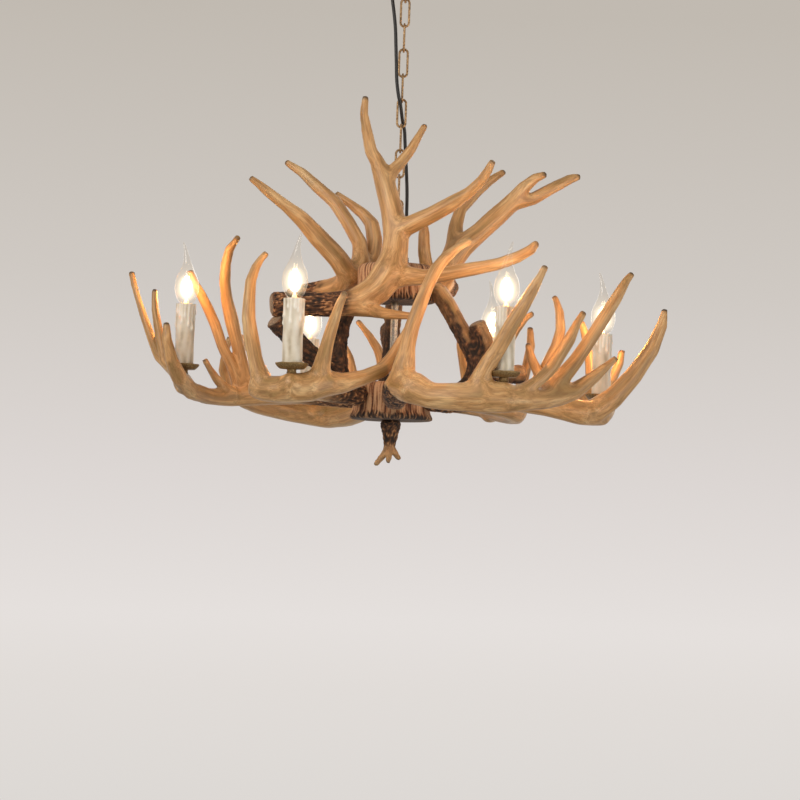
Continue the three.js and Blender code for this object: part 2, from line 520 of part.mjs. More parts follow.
// The boss under a cup rises from the beam to the cup's foot.
function bossSolid(candle, grow) {
  const top = candle.foot - cup.footHeight - cup.wall - seatGap;
  const geometry = lathe([
    [0, -boss.height - grow],
    [boss.footRadius + grow, -boss.height - grow],
    [boss.radius + grow, -boss.height / 2],
    [cup.footRadius + cup.wall + grow, grow],
    [0, grow],
  ], sides.small);
  geometry.translate(candle.x, candle.y, top);
  return solidFrom(geometry);
}

// Each branch is cut back where it meets what stands before it.
let taken = hubSpace;
function addBranch(name, limbs, material, candle = null) {
  const rows = Object.values(limbs);
  const parts = rows.map((limb) => limbSolid(limb, 0));
  const grownParts = rows.map((limb) => limbSolid(limb, seatGap));
  if (candle) {
    parts.push(bossSolid(candle, 0));
    grownParts.push(bossSolid(candle, seatGap));
  }
  const solid = joined(parts).subtract(taken).subtract(candleRoom);
  taken = taken.add(joined(grownParts));
  addMesh(fixture, name, geometryFrom(solid), material);
}

const candleOf = (name) => candleTable.find((candle) => candle.name === name);
addBranch("front_right_antler", frontRightAntlerShares, resinTan, candleOf("front_right"));
addBranch("front_left_antler", frontLeftAntlerShares, resinTan, candleOf("front_left"));
addBranch("left_antler", leftAntlerShares, resinTan, candleOf("left"));
addBranch("right_antler", rightAntlerShares, resinTan, candleOf("right"));
addBranch("rear_right_antler", rearRightAntlerShares, resinTan, candleOf("rear_right"));
addBranch("rear_left_antler", rearLeftAntlerShares, resinTan, candleOf("rear_left"));
addBranch("front_upper_antler", frontUpperAntlerShares, resinTan);
addBranch("right_upper_antler", rightUpperAntlerShares, resinTan);
addBranch("left_upper_antler", leftUpperAntlerShares, resinTan);
addBranch("left_brace", leftBraceShares, barkBrown);
addBranch("right_brace", rightBraceShares, barkBrown);
addBranch("rear_brace", rearBraceShares, barkBrown);

// Centre rod between the hubs, and the little antler-shaped finial below.
const rodLength = hubSpacing - hub.height - seatGap * 2;
const rodGeometry = new THREE.CylinderGeometry(rod.radius, rod.radius, rodLength, sides.small);
rodGeometry.rotateX(Math.PI / 2);
addMesh(fixture, "centre_rod", raised(rodGeometry, (lowerHubBase + hub.height + upperHubBase) / 2), steel);

const finialTop = lowerHubBase - seatGap;
const finialStem = lathe([
  [0, -finial.burrHeight - finial.stemLength],
  [finial.stemTipRadius, -finial.burrHeight - finial.stemLength],
  [finial.stemRadius, -finial.burrHeight],
  [finial.burrRadius, -finial.burrHeight / 2],
  [finial.burrRadius, 0],
  [0, 0],
], sides.small);
const prongRoot = prong.overlap - finial.burrHeight - finial.stemLength;
const prongSpreadShares = [0, 0.35, 1];
function prongSolid([turnDeg, spreadShare, lengthShare]) {
  const turn = THREE.MathUtils.degToRad(turnDeg);
  const centres = prongSpreadShares.map((share, i) => {
    const out = prong.spread * spreadShare * share;
    const down = (prong.length * lengthShare * i) / (prongSpreadShares.length - 1);
    return new THREE.Vector3(Math.cos(turn) * out, Math.sin(turn) * out, prongRoot - down);
  });
  const radii = [prong.rootRadius, (prong.rootRadius + prong.tipRadius) / 2, prong.tipRadius];
  return solidFrom(tubeGeometry(centres, radii, sides.limb));
}
// Rows of [way round, spread, length], the last two as shares of the prong's own.
const prongTable = [[180, 1.35, 1], [-100, 0.6, 0.88], [15, 1, 0.72]];
const finialSolid = joined([solidFrom(finialStem), ...prongTable.map(prongSolid)]);
addMesh(fixture, "finial", raised(geometryFrom(finialSolid), finialTop), barkBrown);

// Candles: cup, drip sleeve, lamp socket and flame-shaped bulb, one set for each place.
function cupGeometry() {
  return lathe([
    [0, -cup.footHeight - cup.wall],
    [cup.footRadius, -cup.footHeight - cup.wall],
    [cup.footRadius, -cup.wall],
    [cupFloor + cup.wall / 2, -cup.wall],
    [cup.radius, cup.depth - cup.wall],
    [cup.radius, cup.depth],
    [cup.radius - cup.wall, cup.depth],
    [cupFloor, 0],
    [0, 0],
  ], sides.round);
}

function sleeveGeometry() {
  const inner = sleeve.radius - sleeve.wall;
  return lathe([
    [inner, 0],
    [sleeve.radius, 0],
    [sleeve.radius, sleeve.length - sleeve.dripHeight * 2],
    [sleeve.dripRadius, sleeve.length - sleeve.dripHeight],
    [sleeve.radius, sleeve.length],
    [inner, sleeve.length],
    [inner, 0],
  ], sides.round);
}

function socketGeometry() {
  return lathe([
    [0, 0],
    [socket.radius, 0],
    [socket.radius, socketLength],
    [socket.boreRadius, socketLength],
    [socket.boreRadius, socketLength - socket.boreDepth],
    [0, socketLength - socket.boreDepth],
  ], sides.small);
}

// The glass widens a third of the way up and draws out to a tail that bends to one side.
const bulbFoot = sleeve.length + seatGap * 2;
const capLength = bulbFoot - (socketLength - socket.boreDepth) - seatGap * 2;
function bulbGeometry(tailDeg) {
  const geometry = lathe([
    [0, -capLength],
    [bulb.capRadius, -capLength],
    [bulb.capRadius, 0],
    ...bulbShares.map(([across, up]) => [bulb.radius * across, bulb.bodyHeight * up]),
    ...tailShares.map(([across, up]) => [bulb.radius * across, bulb.bodyHeight + bulb.tailLength * up]),
    [0, bulb.bodyHeight + bulb.tailLength],
  ], sides.small);
  const places = geometry.attributes.position;
  for (let i = 0; i < places.count; i++) {
    const above = Math.max(0, places.getZ(i) - bulb.bodyHeight) / bulb.tailLength;
    places.setX(i, places.getX(i) + bulb.tailBend * above * above);
  }
  geometry.rotateZ(THREE.MathUtils.degToRad(tailDeg));
  return geometry;
}

for (const candle of candleTable) {
  const stand = new THREE.Group();
  stand.position.set(candle.x, candle.y, candle.foot);
  fixture.add(stand);
  addMesh(stand, "cup_" + candle.name, cupGeometry(), bronze);
  addMesh(stand, "sleeve_" + candle.name, raised(sleeveGeometry(), seatGap), ivoryWax);
  addMesh(stand, "socket_" + candle.name, raised(socketGeometry(), seatGap), whiteCeramic);
  addMesh(stand, "bulb_" + candle.name, raised(bulbGeometry(candle.tailDeg), bulbFoot), clearGlass);
}

// A round-ended ring of wire standing on its lower end, its inside as tall as the given height.
function ringGeometry(width, innerHeight, wire) {
  const bend = (width - wire) / 2;
  const straight = innerHeight + wire - bend * 2;
  const centres = [];
  for (const end of [1, -1]) {
    for (let i = 0; i <= bendSteps; i++) {
      const turn = (i / bendSteps) * Math.PI + (end < 0 ? Math.PI : 0);
      const middle = (end * straight) / 2;
      centres.push(new THREE.Vector3(Math.cos(turn) * bend, 0, middle + Math.sin(turn) * bend));
    }
  }
  const radii = centres.map(() => wire / 2);
  return tubeGeometry(centres, radii, sides.wire, true);
}

// Loops on the upper hub and under the canopy: a ring of wire that stands in a collar.
function loopSolid() {
  const ring = ringGeometry(loop.width, loop.width - loop.wire * 2, loop.wire);
  ring.translate(0, 0, loopReach - (loop.width - loop.wire) / 2);
  const collar = lathe([
    [0, 0],
    [loop.collarRadius, 0],
    [loop.collarTopRadius, loop.collarHeight],
    [0, loop.collarHeight],
  ], sides.small);
  return solidFrom(ring).add(solidFrom(collar));
}
addMesh(fixture, "hub_loop", raised(geometryFrom(loopSolid()), upperHubTop + seatGap), bronze);

// Chain links stand by turns across and along the view, each hanging in the one above.
for (let i = 0; i < link.count; i++) {
  const geometry = ringGeometry(link.width, linkInner, link.wire);
  if (i % 2 === 0) geometry.rotateZ(Math.PI / 2);
  const middle = chainFoot + i * link.pitch + (linkInner + link.wire) / 2;
  addMesh(fixture, "chain_link_" + String(i + 1), raised(geometry, middle), bronze);
}

// Ceiling fitting: a bracket against the ceiling, a canopy over it held by two screws, and the loop's stud.
function cylinderSolid(radius, low, high, x = 0, y = 0) {
  const geometry = new THREE.CylinderGeometry(radius, radius, high - low, sides.small);
  geometry.rotateX(Math.PI / 2);
  geometry.translate(x, y, (low + high) / 2);
  return solidFrom(geometry);
}
const cordPath = [
  [-20, -6, -22], [-20, -6, -38], [-19, -8, -50], [-16, -10, -70], [-13, -11.5, -95], [-11.5, -12, -120],
  [-10, -12, -145], [-8.5, -11.5, -170], [-5, -10.8, -193], [-2, -6, -204], [0, 0, -215.6], [2, 6, -227],
  [5, 10.8, -238], [6.5, 11.5, -256], [8.5, 11.5, -280], [10.5, 11.5, -305], [12, 11, -330], [12.5, 11, -355],
  [12.5, 11.5, -380], [12.5, 12, -400], [13, 12, -410], [14, 12, -422], [14, 12, -430], [14, 12, -437.8],
];
const [cordTopX, cordTopY] = cordPath[0];
const [cordFootX, cordFootY] = cordPath[cordPath.length - 1];

const canopyShell = lathe([
  [0, -canopy.height],
  [canopy.baseRadius, -canopy.height],
  [canopy.radius, 0],
  [canopy.radius - canopy.wall, 0],
  [canopy.baseRadius - canopy.wall, -canopy.height + canopy.wall],
  [0, -canopy.height + canopy.wall],
]);
const holeLow = -canopy.height - cutOverrun;
const holeHigh = -canopy.height + canopy.wall + cutOverrun;
const canopyHoles = joined([
  cylinderSolid(stud.radius + seatGap, holeLow, holeHigh),
  cylinderSolid(grip.radius + seatGap, holeLow, holeHigh, cordTopX, cordTopY),
  cylinderSolid(screw.radius + seatGap, holeLow, holeHigh, screwSpacing / 2),
  cylinderSolid(screw.radius + seatGap, holeLow, holeHigh, -screwSpacing / 2),
]);
addMesh(ceiling, "canopy", geometryFrom(solidFrom(canopyShell).subtract(canopyHoles)), bronze);

const bracketBar = new THREE.BoxGeometry(bracket.length, bracket.width, bracket.thickness);
bracketBar.translate(0, 0, -bracket.thickness / 2);
function bracketHole(side) {
  const low = -bracket.thickness - cutOverrun;
  return cylinderSolid(screw.radius + seatGap, low, cutOverrun, (side * screwSpacing) / 2);
}
const bracketHoles = joined([bracketHole(1), bracketHole(-1)]);
addMesh(ceiling, "ceiling_bracket", geometryFrom(solidFrom(bracketBar).subtract(bracketHoles)), steel);

for (const side of [1, -1]) {
  const x = (side * screwSpacing) / 2;
  const headTop = -canopy.height - seatGap;
  const shank = cylinderSolid(screw.radius, headTop - screw.headHeight / 2, -bracket.thickness / 3, x);
  const head = cylinderSolid(screw.headRadius, headTop - screw.headHeight, headTop, x);
  addMesh(ceiling, side > 0 ? "canopy_screw_1" : "canopy_screw_2", geometryFrom(shank.add(head)), bronze);
}

const hangingLoop = loopSolid().rotate([180, 0, 90]).translate([0, 0, -canopy.height - seatGap]);
const studTop = -bracket.thickness - seatGap;
const loopStud = cylinderSolid(stud.radius, -canopy.height - loop.collarHeight / 2, studTop);
addMesh(ceiling, "canopy_loop", geometryFrom(hangingLoop.add(loopStud)), bronze);

// Supply cord: from a grip in the canopy, through the chain and into a grip on the upper hub.
function gripSolid() {
  const outer = cylinderSolid(grip.radius, 0, grip.length);
  return outer.subtract(cylinderSolid(cord.radius + seatGap, -cutOverrun, grip.length + cutOverrun));
}
const canopyGrip = gripSolid().translate([cordTopX, cordTopY, -canopy.height - grip.lead]);
addMesh(ceiling, "canopy_grip", geometryFrom(canopyGrip), blackRubber);
const hubGrip = gripSolid().translate([cordFootX, cordFootY, upperHubTop + seatGap]);
addMesh(fixture, "hub_grip", geometryFrom(hubGrip), blackRubber);

const cordPoints = cordPath.map((point) => new THREE.Vector3(...point));
const cordCurve = new THREE.CatmullRomCurve3(cordPoints, false, "centripetal");
const cordSection = new THREE.Shape();
for (let j = 0; j < sides.cord; j++) {
  const angle = (j / sides.cord) * Math.PI * 2;
  const corner = [Math.cos(angle) * cord.radius, Math.sin(angle) * cord.radius];
  if (j === 0) cordSection.moveTo(...corner);
  else cordSection.lineTo(...corner);
}
const cordTube = new THREE.ExtrudeGeometry(cordSection, {
  steps: Math.round(cordCurve.getLength() / cord.step),
  extrudePath: cordCurve,
});
addMesh(ceiling, "supply_cord", cordTube, blackRubber);

export default chandelier;
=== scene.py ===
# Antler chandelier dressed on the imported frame: painted cast antlers, bark, candles, chain and cord.
import math

import bpy
import numpy as np
from mathutils import Matrix, Vector, noise


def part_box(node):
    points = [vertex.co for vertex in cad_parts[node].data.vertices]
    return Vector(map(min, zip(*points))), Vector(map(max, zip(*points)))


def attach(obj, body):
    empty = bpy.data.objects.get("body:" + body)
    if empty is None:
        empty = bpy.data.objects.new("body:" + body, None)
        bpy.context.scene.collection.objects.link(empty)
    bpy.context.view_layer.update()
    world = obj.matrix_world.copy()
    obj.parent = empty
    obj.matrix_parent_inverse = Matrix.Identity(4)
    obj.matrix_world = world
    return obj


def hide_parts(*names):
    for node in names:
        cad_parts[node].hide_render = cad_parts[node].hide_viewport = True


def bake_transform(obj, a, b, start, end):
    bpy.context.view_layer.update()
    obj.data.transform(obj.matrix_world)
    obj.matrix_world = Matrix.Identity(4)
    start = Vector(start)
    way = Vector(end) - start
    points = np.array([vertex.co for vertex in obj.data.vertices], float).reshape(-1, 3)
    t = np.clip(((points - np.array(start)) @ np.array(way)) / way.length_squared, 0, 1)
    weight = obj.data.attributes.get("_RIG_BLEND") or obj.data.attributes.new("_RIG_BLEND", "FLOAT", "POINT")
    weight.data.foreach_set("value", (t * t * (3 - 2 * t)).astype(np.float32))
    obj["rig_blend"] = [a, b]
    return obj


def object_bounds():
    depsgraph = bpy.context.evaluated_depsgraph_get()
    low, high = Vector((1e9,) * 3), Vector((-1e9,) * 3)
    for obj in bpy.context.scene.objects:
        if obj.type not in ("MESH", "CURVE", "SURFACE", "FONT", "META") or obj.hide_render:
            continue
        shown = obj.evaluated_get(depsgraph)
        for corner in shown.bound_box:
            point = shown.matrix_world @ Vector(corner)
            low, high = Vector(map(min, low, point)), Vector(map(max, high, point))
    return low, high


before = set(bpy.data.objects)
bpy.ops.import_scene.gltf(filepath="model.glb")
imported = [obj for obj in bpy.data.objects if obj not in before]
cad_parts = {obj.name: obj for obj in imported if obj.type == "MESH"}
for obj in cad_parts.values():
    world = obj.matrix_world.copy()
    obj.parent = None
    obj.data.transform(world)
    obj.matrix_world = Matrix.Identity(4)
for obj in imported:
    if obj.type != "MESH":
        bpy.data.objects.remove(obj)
bpy.ops.object.select_all(action="DESELECT")
cadLow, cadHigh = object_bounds()
print("frame loaded:", len(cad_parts), "nodes")

mm = 0.001
ringLevel = -0.6343  # height of the ring of candle antlers below the ceiling

# Camera: the photograph is taken from 3.9 m, from a little below, and leans by two degrees
photoView = {"place": (0.0123, -3.8935, -0.8588), "pitch": 93.3, "lean": 2.0, "lens": 121.05, "sensor": 36}


def placeCamera():
    turn = Matrix.Rotation(math.radians(photoView["pitch"]), 3, "X")
    turn = turn @ Matrix.Rotation(math.radians(photoView["lean"]), 3, "Z")
    bpy.ops.object.camera_add(location=photoView["place"], rotation=turn.to_euler())
    camera = bpy.context.object
    camera.data.lens = photoView["lens"]
    camera.data.sensor_width = photoView["sensor"]
    bpy.context.scene.camera = camera


placeCamera()
print("camera placed")


# Materials
def linear(hexColour):
    # sRGB hex to linear RGBA
    channels = [int(hexColour[i:i + 2], 16) / 255 for i in (1, 3, 5)]
    return tuple(c / 12.92 if c <= 0.04045 else ((c + 0.055) / 1.055) ** 2.4 for c in channels) + (1.0,)


def feed(tree, node, inputs):
    # sockets are linked and plain values set
    for name, value in inputs.items():
        if isinstance(value, bpy.types.NodeSocket):
            tree.links.new(value, node.inputs[name])
        else:
            node.inputs[name].default_value = value


def addNode(tree, kind, inputs=None, stops=None, **settings):
    # one node with its settings, inputs and colour stops
    node = tree.nodes.new(kind)
    for name, value in settings.items():
        setattr(node, name, value)
    feed(tree, node, inputs or {})
    if stops:
        elements = node.color_ramp.elements
        while len(elements) < len(stops):
            elements.new(0.5)
        for element, (position, colour) in zip(elements, stops):
            element.position = position
            element.color = linear(colour) if isinstance(colour, str) else (colour, colour, colour, 1)
    return node


def markOf(tree, name, output="Fac"):
    return addNode(tree, "ShaderNodeAttribute", attribute_name=name).outputs[output]


def noiseOf(tree, place, scale, detail=2, roughness=0.5):
    inputs = {"Vector": place, "Scale": scale, "Detail": detail, "Roughness": roughness}
    return addNode(tree, "ShaderNodeTexNoise", inputs).outputs["Fac"]


def rampOf(tree, value, *stops):
    return addNode(tree, "ShaderNodeValToRGB", {"Fac": value}, stops=stops).outputs[0]


def mathOf(tree, operation, *values, **settings):
    node = addNode(tree, "ShaderNodeMath", dict(enumerate(values)), operation=operation, **settings)
    return node.outputs[0]


def laidOver(tree, share, under, over):
    # one colour over another
    return addNode(tree, "ShaderNodeMix", {0: share, 6: under, 7: over}, data_type="RGBA").outputs[2]


def bumpOf(tree, height, strength, depth):
    # fine relief, its depth in mm
    inputs = {"Height": height, "Strength": strength, "Distance": depth * mm}
    return addNode(tree, "ShaderNodeBump", inputs).outputs[0]


def mixedShader(tree, share, first, second):
    return addNode(tree, "ShaderNodeMixShader", {0: share, 1: first.outputs[0], 2: second.outputs[0]})


def newFinish(name):
    # a material with its output and its main shader, and each point's place in mm
    finish = bpy.data.materials.new(name)
    finish.use_nodes = True
    tree = finish.node_tree
    tree.nodes.clear()
    shader = addNode(tree, "ShaderNodeBsdfPrincipled")
    addNode(tree, "ShaderNodeOutputMaterial", {"Surface": shader.outputs[0]})
    place = addNode(tree, "ShaderNodeTexCoord").outputs["Object"]
    perMetre = (1 / mm,) * 3
    inMillimetres = addNode(tree, "ShaderNodeVectorMath", {0: place, 1: perMetre}, operation="MULTIPLY")
    return finish, tree, shader, inMillimetres.outputs[0]


def showSurface(tree, surface):
    # another surface takes the main shader's place at the output
    output = next(n for n in tree.nodes if n.bl_idname == "ShaderNodeOutputMaterial")
    tree.links.new(surface.outputs[0], output.inputs["Surface"])


antlerColours = {
    "tan": "#CA9A62", "pale": "#E2BC86", "olive": "#A6824E", "groove": "#7A5028", "tip": "#3A2B1B",
    "barkPit": "#1B120B", "barkMiddle": "#452D1C", "barkRidge": "#7C5232", "barkCrest": "#AE8055",
    "sawnPale": "#9A856D", "sawnDark": "#5E4A3A",
}
antlerGrain = {"width": 1.7, "length": 40, "patch": 12, "patchLength": 90, "pore": 1.3}  # mm


def handPaintedResin():
    # Cast polyester resin, hand painted and satin lacquered: soft sheen, streaks that run along each limb,
    # rough dark bark at the roots and dull grey-brown sawn faces
    finish, tree, shader, place = newFinish("handPaintedResin")
    girth = markOf(tree, "girth", "Vector")
    bark, ridge, tip, sawn = (markOf(tree, mark) for mark in ("bark", "ridge", "tip", "sawn"))

    def grainField(width, length, detail, roughness):
        share, run = (1 / width,) * 3, (1 / length,) * 3
        along = addNode(tree, "ShaderNodeVectorMath", {0: place, 1: run}, operation="MULTIPLY").outputs[0]
        sums = {0: girth, 1: share, 2: along}
        field = addNode(tree, "ShaderNodeVectorMath", sums, operation="MULTIPLY_ADD")
        return noiseOf(tree, field.outputs[0], 1.0, detail, roughness)

    streak = grainField(antlerGrain["width"], antlerGrain["length"], 4, 0.6)
    patch = grainField(antlerGrain["patch"], antlerGrain["patchLength"], 2, 0.5)
    pore = noiseOf(tree, place, 1 / antlerGrain["pore"])
    colours = antlerColours
    groove = linear(colours["groove"])
    paint = rampOf(tree, patch, (0.32, colours["olive"]), (0.5, colours["tan"]), (0.7, colours["pale"]))
    paint = laidOver(tree, rampOf(tree, streak, (0.36, 0.45), (0.58, 0.0)), paint, groove)
    paint = laidOver(tree, rampOf(tree, ridge, (0.25, 0.3), (0.5, 0.0)), paint, groove)
    paint = laidOver(tree, tip, paint, linear(colours["tip"]))
    crest = mathOf(tree, "MULTIPLY_ADD", streak, 0.55, ridge)
    rind = rampOf(tree, crest, (0.4, colours["barkPit"]), (0.68, colours["barkMiddle"]),
                  (0.95, colours["barkRidge"]), (1.0, colours["barkCrest"]))
    paint = laidOver(tree, bark, paint, rind)
    face = rampOf(tree, pore, (0.35, colours["sawnDark"]), (0.6, colours["sawnPale"]))
    paint = laidOver(tree, sawn, paint, face)
    gloss = addNode(tree, "ShaderNodeMapRange", {"Value": bark, "To Min": 0.37, "To Max": 0.76})
    wearAndHighlight = mathOf(tree, "MULTIPLY_ADD", streak, 0.16, gloss.outputs[0])
    relief = mathOf(tree, "MULTIPLY_ADD", pore, 0.1, streak)
    feed(tree, shader, {"Base Color": paint, "Roughness": wearAndHighlight, "IOR": 1.52,
                        "Normal": bumpOf(tree, relief, 0.35, 0.4)})
    return finish


def castBurr():
    # Cast resin burr with upright furrows: warm brown, dry brushed, dark in the furrows and under the rim
    finish, tree, shader, place = newFinish("castBurr")
    furrow, rim = markOf(tree, "ridge"), markOf(tree, "bark")
    height = mathOf(tree, "MULTIPLY_ADD", noiseOf(tree, place, 0.35, 5, 0.65), 0.5, furrow)
    column = rampOf(tree, height, (0.4, "#4A2917"), (0.6, "#8C5936"), (0.92, "#C59A72"))
    skirt = rampOf(tree, height, (0.5, "#1A120D"), (0.8, "#4A3523"), (1.0, "#96704D"))
    feed(tree, shader, {"Base Color": laidOver(tree, rim, column, skirt), "Roughness": 0.72,
                        "Normal": bumpOf(tree, height, 0.5, 0.7)})
    return finish


def antiqueBronze(name, dark, mid, bright):
    # Steel with an antique bronze paint, rubbed back: dark in the lows, warm and smoother on worn highs
    finish, tree, shader, place = newFinish(name)
    patina = noiseOf(tree, place, 0.45, 5, 0.62)
    rough = addNode(tree, "ShaderNodeMapRange", {"Value": patina, "From Min": 0.3, "From Max": 0.7,
                                                 "To Min": 0.62, "To Max": 0.38})
    feed(tree, shader, {"Base Color": rampOf(tree, patina, (0.34, dark), (0.5, mid), (0.68, bright)),
                        "Metallic": 0.65, "Roughness": rough.outputs[0],
                        "Normal": bumpOf(tree, noiseOf(tree, place, 2.2), 0.25, 0.15)})
    return finish


def ivoryWax():
    # Moulded ivory plastic made like dripping wax: milky, satin, darker between the drips and paler on them
    finish, tree, shader, place = newFinish("ivoryWax")
    height = mathOf(tree, "MULTIPLY_ADD", noiseOf(tree, place, 0.09, 3), 0.4, markOf(tree, "ridge"))
    feed(tree, shader, {"Base Color": rampOf(tree, height, (0.14, "#B0A187"), (0.36, "#D8CCB5"),
                                             (0.8, "#F4EEE0")),
                        "Normal": bumpOf(tree, noiseOf(tree, place, 0.5, 3), 0.35, 0.4),
                        "Roughness": 0.42, "Subsurface Weight": 0.15,
                        "Subsurface Radius": (0.004, 0.003, 0.002)})
    return finish


def lampGlass():
    # Clear blown glass: thin and smooth, with a faint warmth where the filaments light it
    finish, tree, shader, _ = newFinish("lampGlass")
    tree.nodes.remove(shader)
    clear = addNode(tree, "ShaderNodeBsdfTransparent", {"Color": (0.96, 0.945, 0.92, 1)})
    gloss = addNode(tree, "ShaderNodeBsdfGlossy", {"Color": (1, 1, 1, 1), "Roughness": 0.04})
    turned = addNode(tree, "ShaderNodeLayerWeight", {"Blend": 0.5}).outputs["Facing"]
    edge = mathOf(tree, "POWER", turned, 4.0)
    pane = mixedShader(tree, mathOf(tree, "MULTIPLY_ADD", edge, 0.6, 0.04), clear, gloss)
    strength = mathOf(tree, "MULTIPLY", markOf(tree, "lit"), 0.14)
    glow = addNode(tree, "ShaderNodeEmission", {"Color": linear("#FFE6BC"), "Strength": strength})
    showSurface(tree, addNode(tree, "ShaderNodeAddShader", {0: pane.outputs[0], 1: glow.outputs[0]}))
    return finish


def lampGlow():
    # Bright haze round lit filaments: each thin shell adds light, white inside and warm outside
    finish, tree, shader, _ = newFinish("lampGlow")
    tree.nodes.remove(shader)
    lit = markOf(tree, "lit")
    warmth = rampOf(tree, lit, (0.04, "#FFDDA2"), (0.12, "#FFECC8"), (0.3, "#FFF8E8"))
    glow = addNode(tree, "ShaderNodeEmission", {"Color": warmth, "Strength": lit})
    clear = addNode(tree, "ShaderNodeBsdfTransparent")
    showSurface(tree, addNode(tree, "ShaderNodeAddShader", {0: clear.outputs[0], 1: glow.outputs[0]}))
    return finish


def plainFinish(name, colour, otherColour, scale, roughness, metallic=0.0, bumpDepth=0.1):
    # a two-tone finish with a fine grain
    finish, tree, shader, place = newFinish(name)
    grain = noiseOf(tree, place, scale, 3)
    feed(tree, shader, {"Base Color": rampOf(tree, grain, (0.35, colour), (0.65, otherColour)),
                        "Normal": bumpOf(tree, grain, 0.3, bumpDepth),
                        "Roughness": roughness, "Metallic": metallic})
    return finish


def glowingFilament():
    # Lit filament rods, so bright that they show white
    finish, tree, shader, place = newFinish("glowingFilament")
    tone = rampOf(tree, noiseOf(tree, place, 0.8), (0.3, "#F7D79A"), (0.7, "#FFF0CC"))
    feed(tree, shader, {"Base Color": tone, "Emission Color": linear("#FFE9C0"), "Emission Strength": 9.0})
    return finish


finishes = {
    "antler": handPaintedResin(),
    "burr": castBurr(),
    "chain": antiqueBronze("antiqueBronzeChain", "#624930", "#A0805A", "#D0AF84"),
    "cup": antiqueBronze("antiqueBronzeCup", "#6A5334", "#846B45", "#9C8457"),
    "wax": ivoryWax(),
    "glass": lampGlass(),
    "glow": lampGlow(),
    "filament": glowingFilament(),
    "socket": plainFinish("mouldedSocketPlastic", "#D9D3C4", "#EFEADD", 0.3, 0.4),
    "capMetal": plainFinish("nickelledLampCap", "#A59A84", "#C9C0AC", 0.8, 0.32, 0.9),
    "steel": plainFinish("zincPlatedSteel", "#8B8984", "#B5B3AC", 0.5, 0.38, 0.9),
    "cordRubber": plainFinish("blackCordRubber", "#0B0B0B", "#1C1B1A", 0.9, 0.48, 0.0, 0.2),
    "gripNylon": plainFinish("blackGripNylon", "#101010", "#242322", 0.7, 0.4),
}
print("materials made")


# Shared shaping helpers
creaseAngle = 38  # degrees; edges sharper than this stay crisp on spun pieces


def deselect():
    bpy.ops.object.select_all(action="DESELECT")


def activate(piece):
    deselect()
    piece.select_set(True)
    bpy.context.view_layer.objects.active = piece


def applyAll(piece):
    activate(piece)
    for modifier in list(piece.modifiers):
        bpy.ops.object.modifier_apply(modifier=modifier.name)


def finishPiece(piece, name, finish, body, nodes=()):
    # place into the mesh, name, paint, ride and stand for its nodes
    activate(piece)
    bpy.ops.object.transform_apply(location=True, rotation=True, scale=True)
    piece.name = name
    piece.data.materials.clear()
    piece.data.materials.append(finishes[finish])
    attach(piece, body)
    if nodes:
        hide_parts(*nodes)


def repaint(node, finish):
    # a CAD node that stays, in its own finish
    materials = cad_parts[node].data.materials
    materials.clear()
    materials.append(finishes[finish])


def addLight(kind, name, place, power, colour, **settings):
    bpy.ops.object.light_add(type=kind, location=place, **settings)
    light = bpy.context.object
    light.name = name + "Light"
    light.data.energy = power
    light.data.color = linear(colour)[:3]
    return light


def spunShape(profile, steps):
    # a line drawn through the profile's points, then spun round the upright axis
    bpy.ops.mesh.primitive_plane_add(size=mm)
    piece = bpy.context.object
    bpy.ops.object.mode_set(mode="EDIT")
    bpy.ops.mesh.merge(type="CENTER")
    bpy.ops.transform.translate(value=(profile[0][0] * mm, 0, profile[0][1] * mm))
    for (r0, z0), (r1, z1) in zip(profile, profile[1:]):
        move = {"value": ((r1 - r0) * mm, 0, (z1 - z0) * mm)}
        bpy.ops.mesh.extrude_region_move(TRANSFORM_OT_translate=move)
    bpy.ops.mesh.select_all(action="SELECT")
    bpy.ops.mesh.spin(steps=steps, angle=math.tau, center=(0, 0, 0), axis=(0, 0, 1))
    bpy.ops.mesh.select_all(action="SELECT")
    bpy.ops.mesh.remove_doubles(threshold=0.01 * mm)
    bpy.ops.mesh.normals_make_consistent(inside=False)
    bpy.ops.object.mode_set(mode="OBJECT")
    bpy.ops.object.shade_smooth_by_angle(angle=math.radians(creaseAngle))
    return piece


def eased(points, perSpan):
    # a smooth line through two-number or three-number points
    points = [np.array(p, float) for p in points]
    padded = [2 * points[0] - points[1]] + points + [2 * points[-1] - points[-2]]
    line = []
    for a, b, c, d in zip(padded, padded[1:], padded[2:], padded[3:]):
        t0 = 0.0
        t1 = t0 + max(np.linalg.norm(b - a), 1e-9) ** 0.5
        t2 = t1 + max(np.linalg.norm(c - b), 1e-9) ** 0.5
        t3 = t2 + max(np.linalg.norm(d - c), 1e-9) ** 0.5
        for i in range(perSpan):
            t = t1 + (t2 - t1) * i / perSpan
            ab = (a * (t1 - t) + b * (t - t0)) / (t1 - t0)
            bc = (b * (t2 - t) + c * (t - t1)) / (t2 - t1)
            cd = (c * (t3 - t) + d * (t - t2)) / (t3 - t2)
            abc = (ab * (t2 - t) + bc * (t - t0)) / (t2 - t0)
            bcd = (bc * (t3 - t) + cd * (t - t1)) / (t3 - t1)
            line.append((abc * (t2 - t) + bcd * (t - t1)) / (t2 - t1))
    line.append(points[-1])
    return line


def vertexPlaces(mesh):
    flat = np.empty(len(mesh.vertices) * 3, np.float32)
    mesh.vertices.foreach_get("co", flat)
    return flat.reshape(-1, 3).astype(float)


def setPlaces(mesh, places):
    mesh.vertices.foreach_set("co", places.astype(np.float32).ravel())
    mesh.update()


def setMark(mesh, name, values, kind="FLOAT"):
    attribute = mesh.attributes.new(name, kind, "POINT")
    field = "value" if kind == "FLOAT" else "vector"
    attribute.data.foreach_set(field, np.asarray(values, np.float32).ravel())


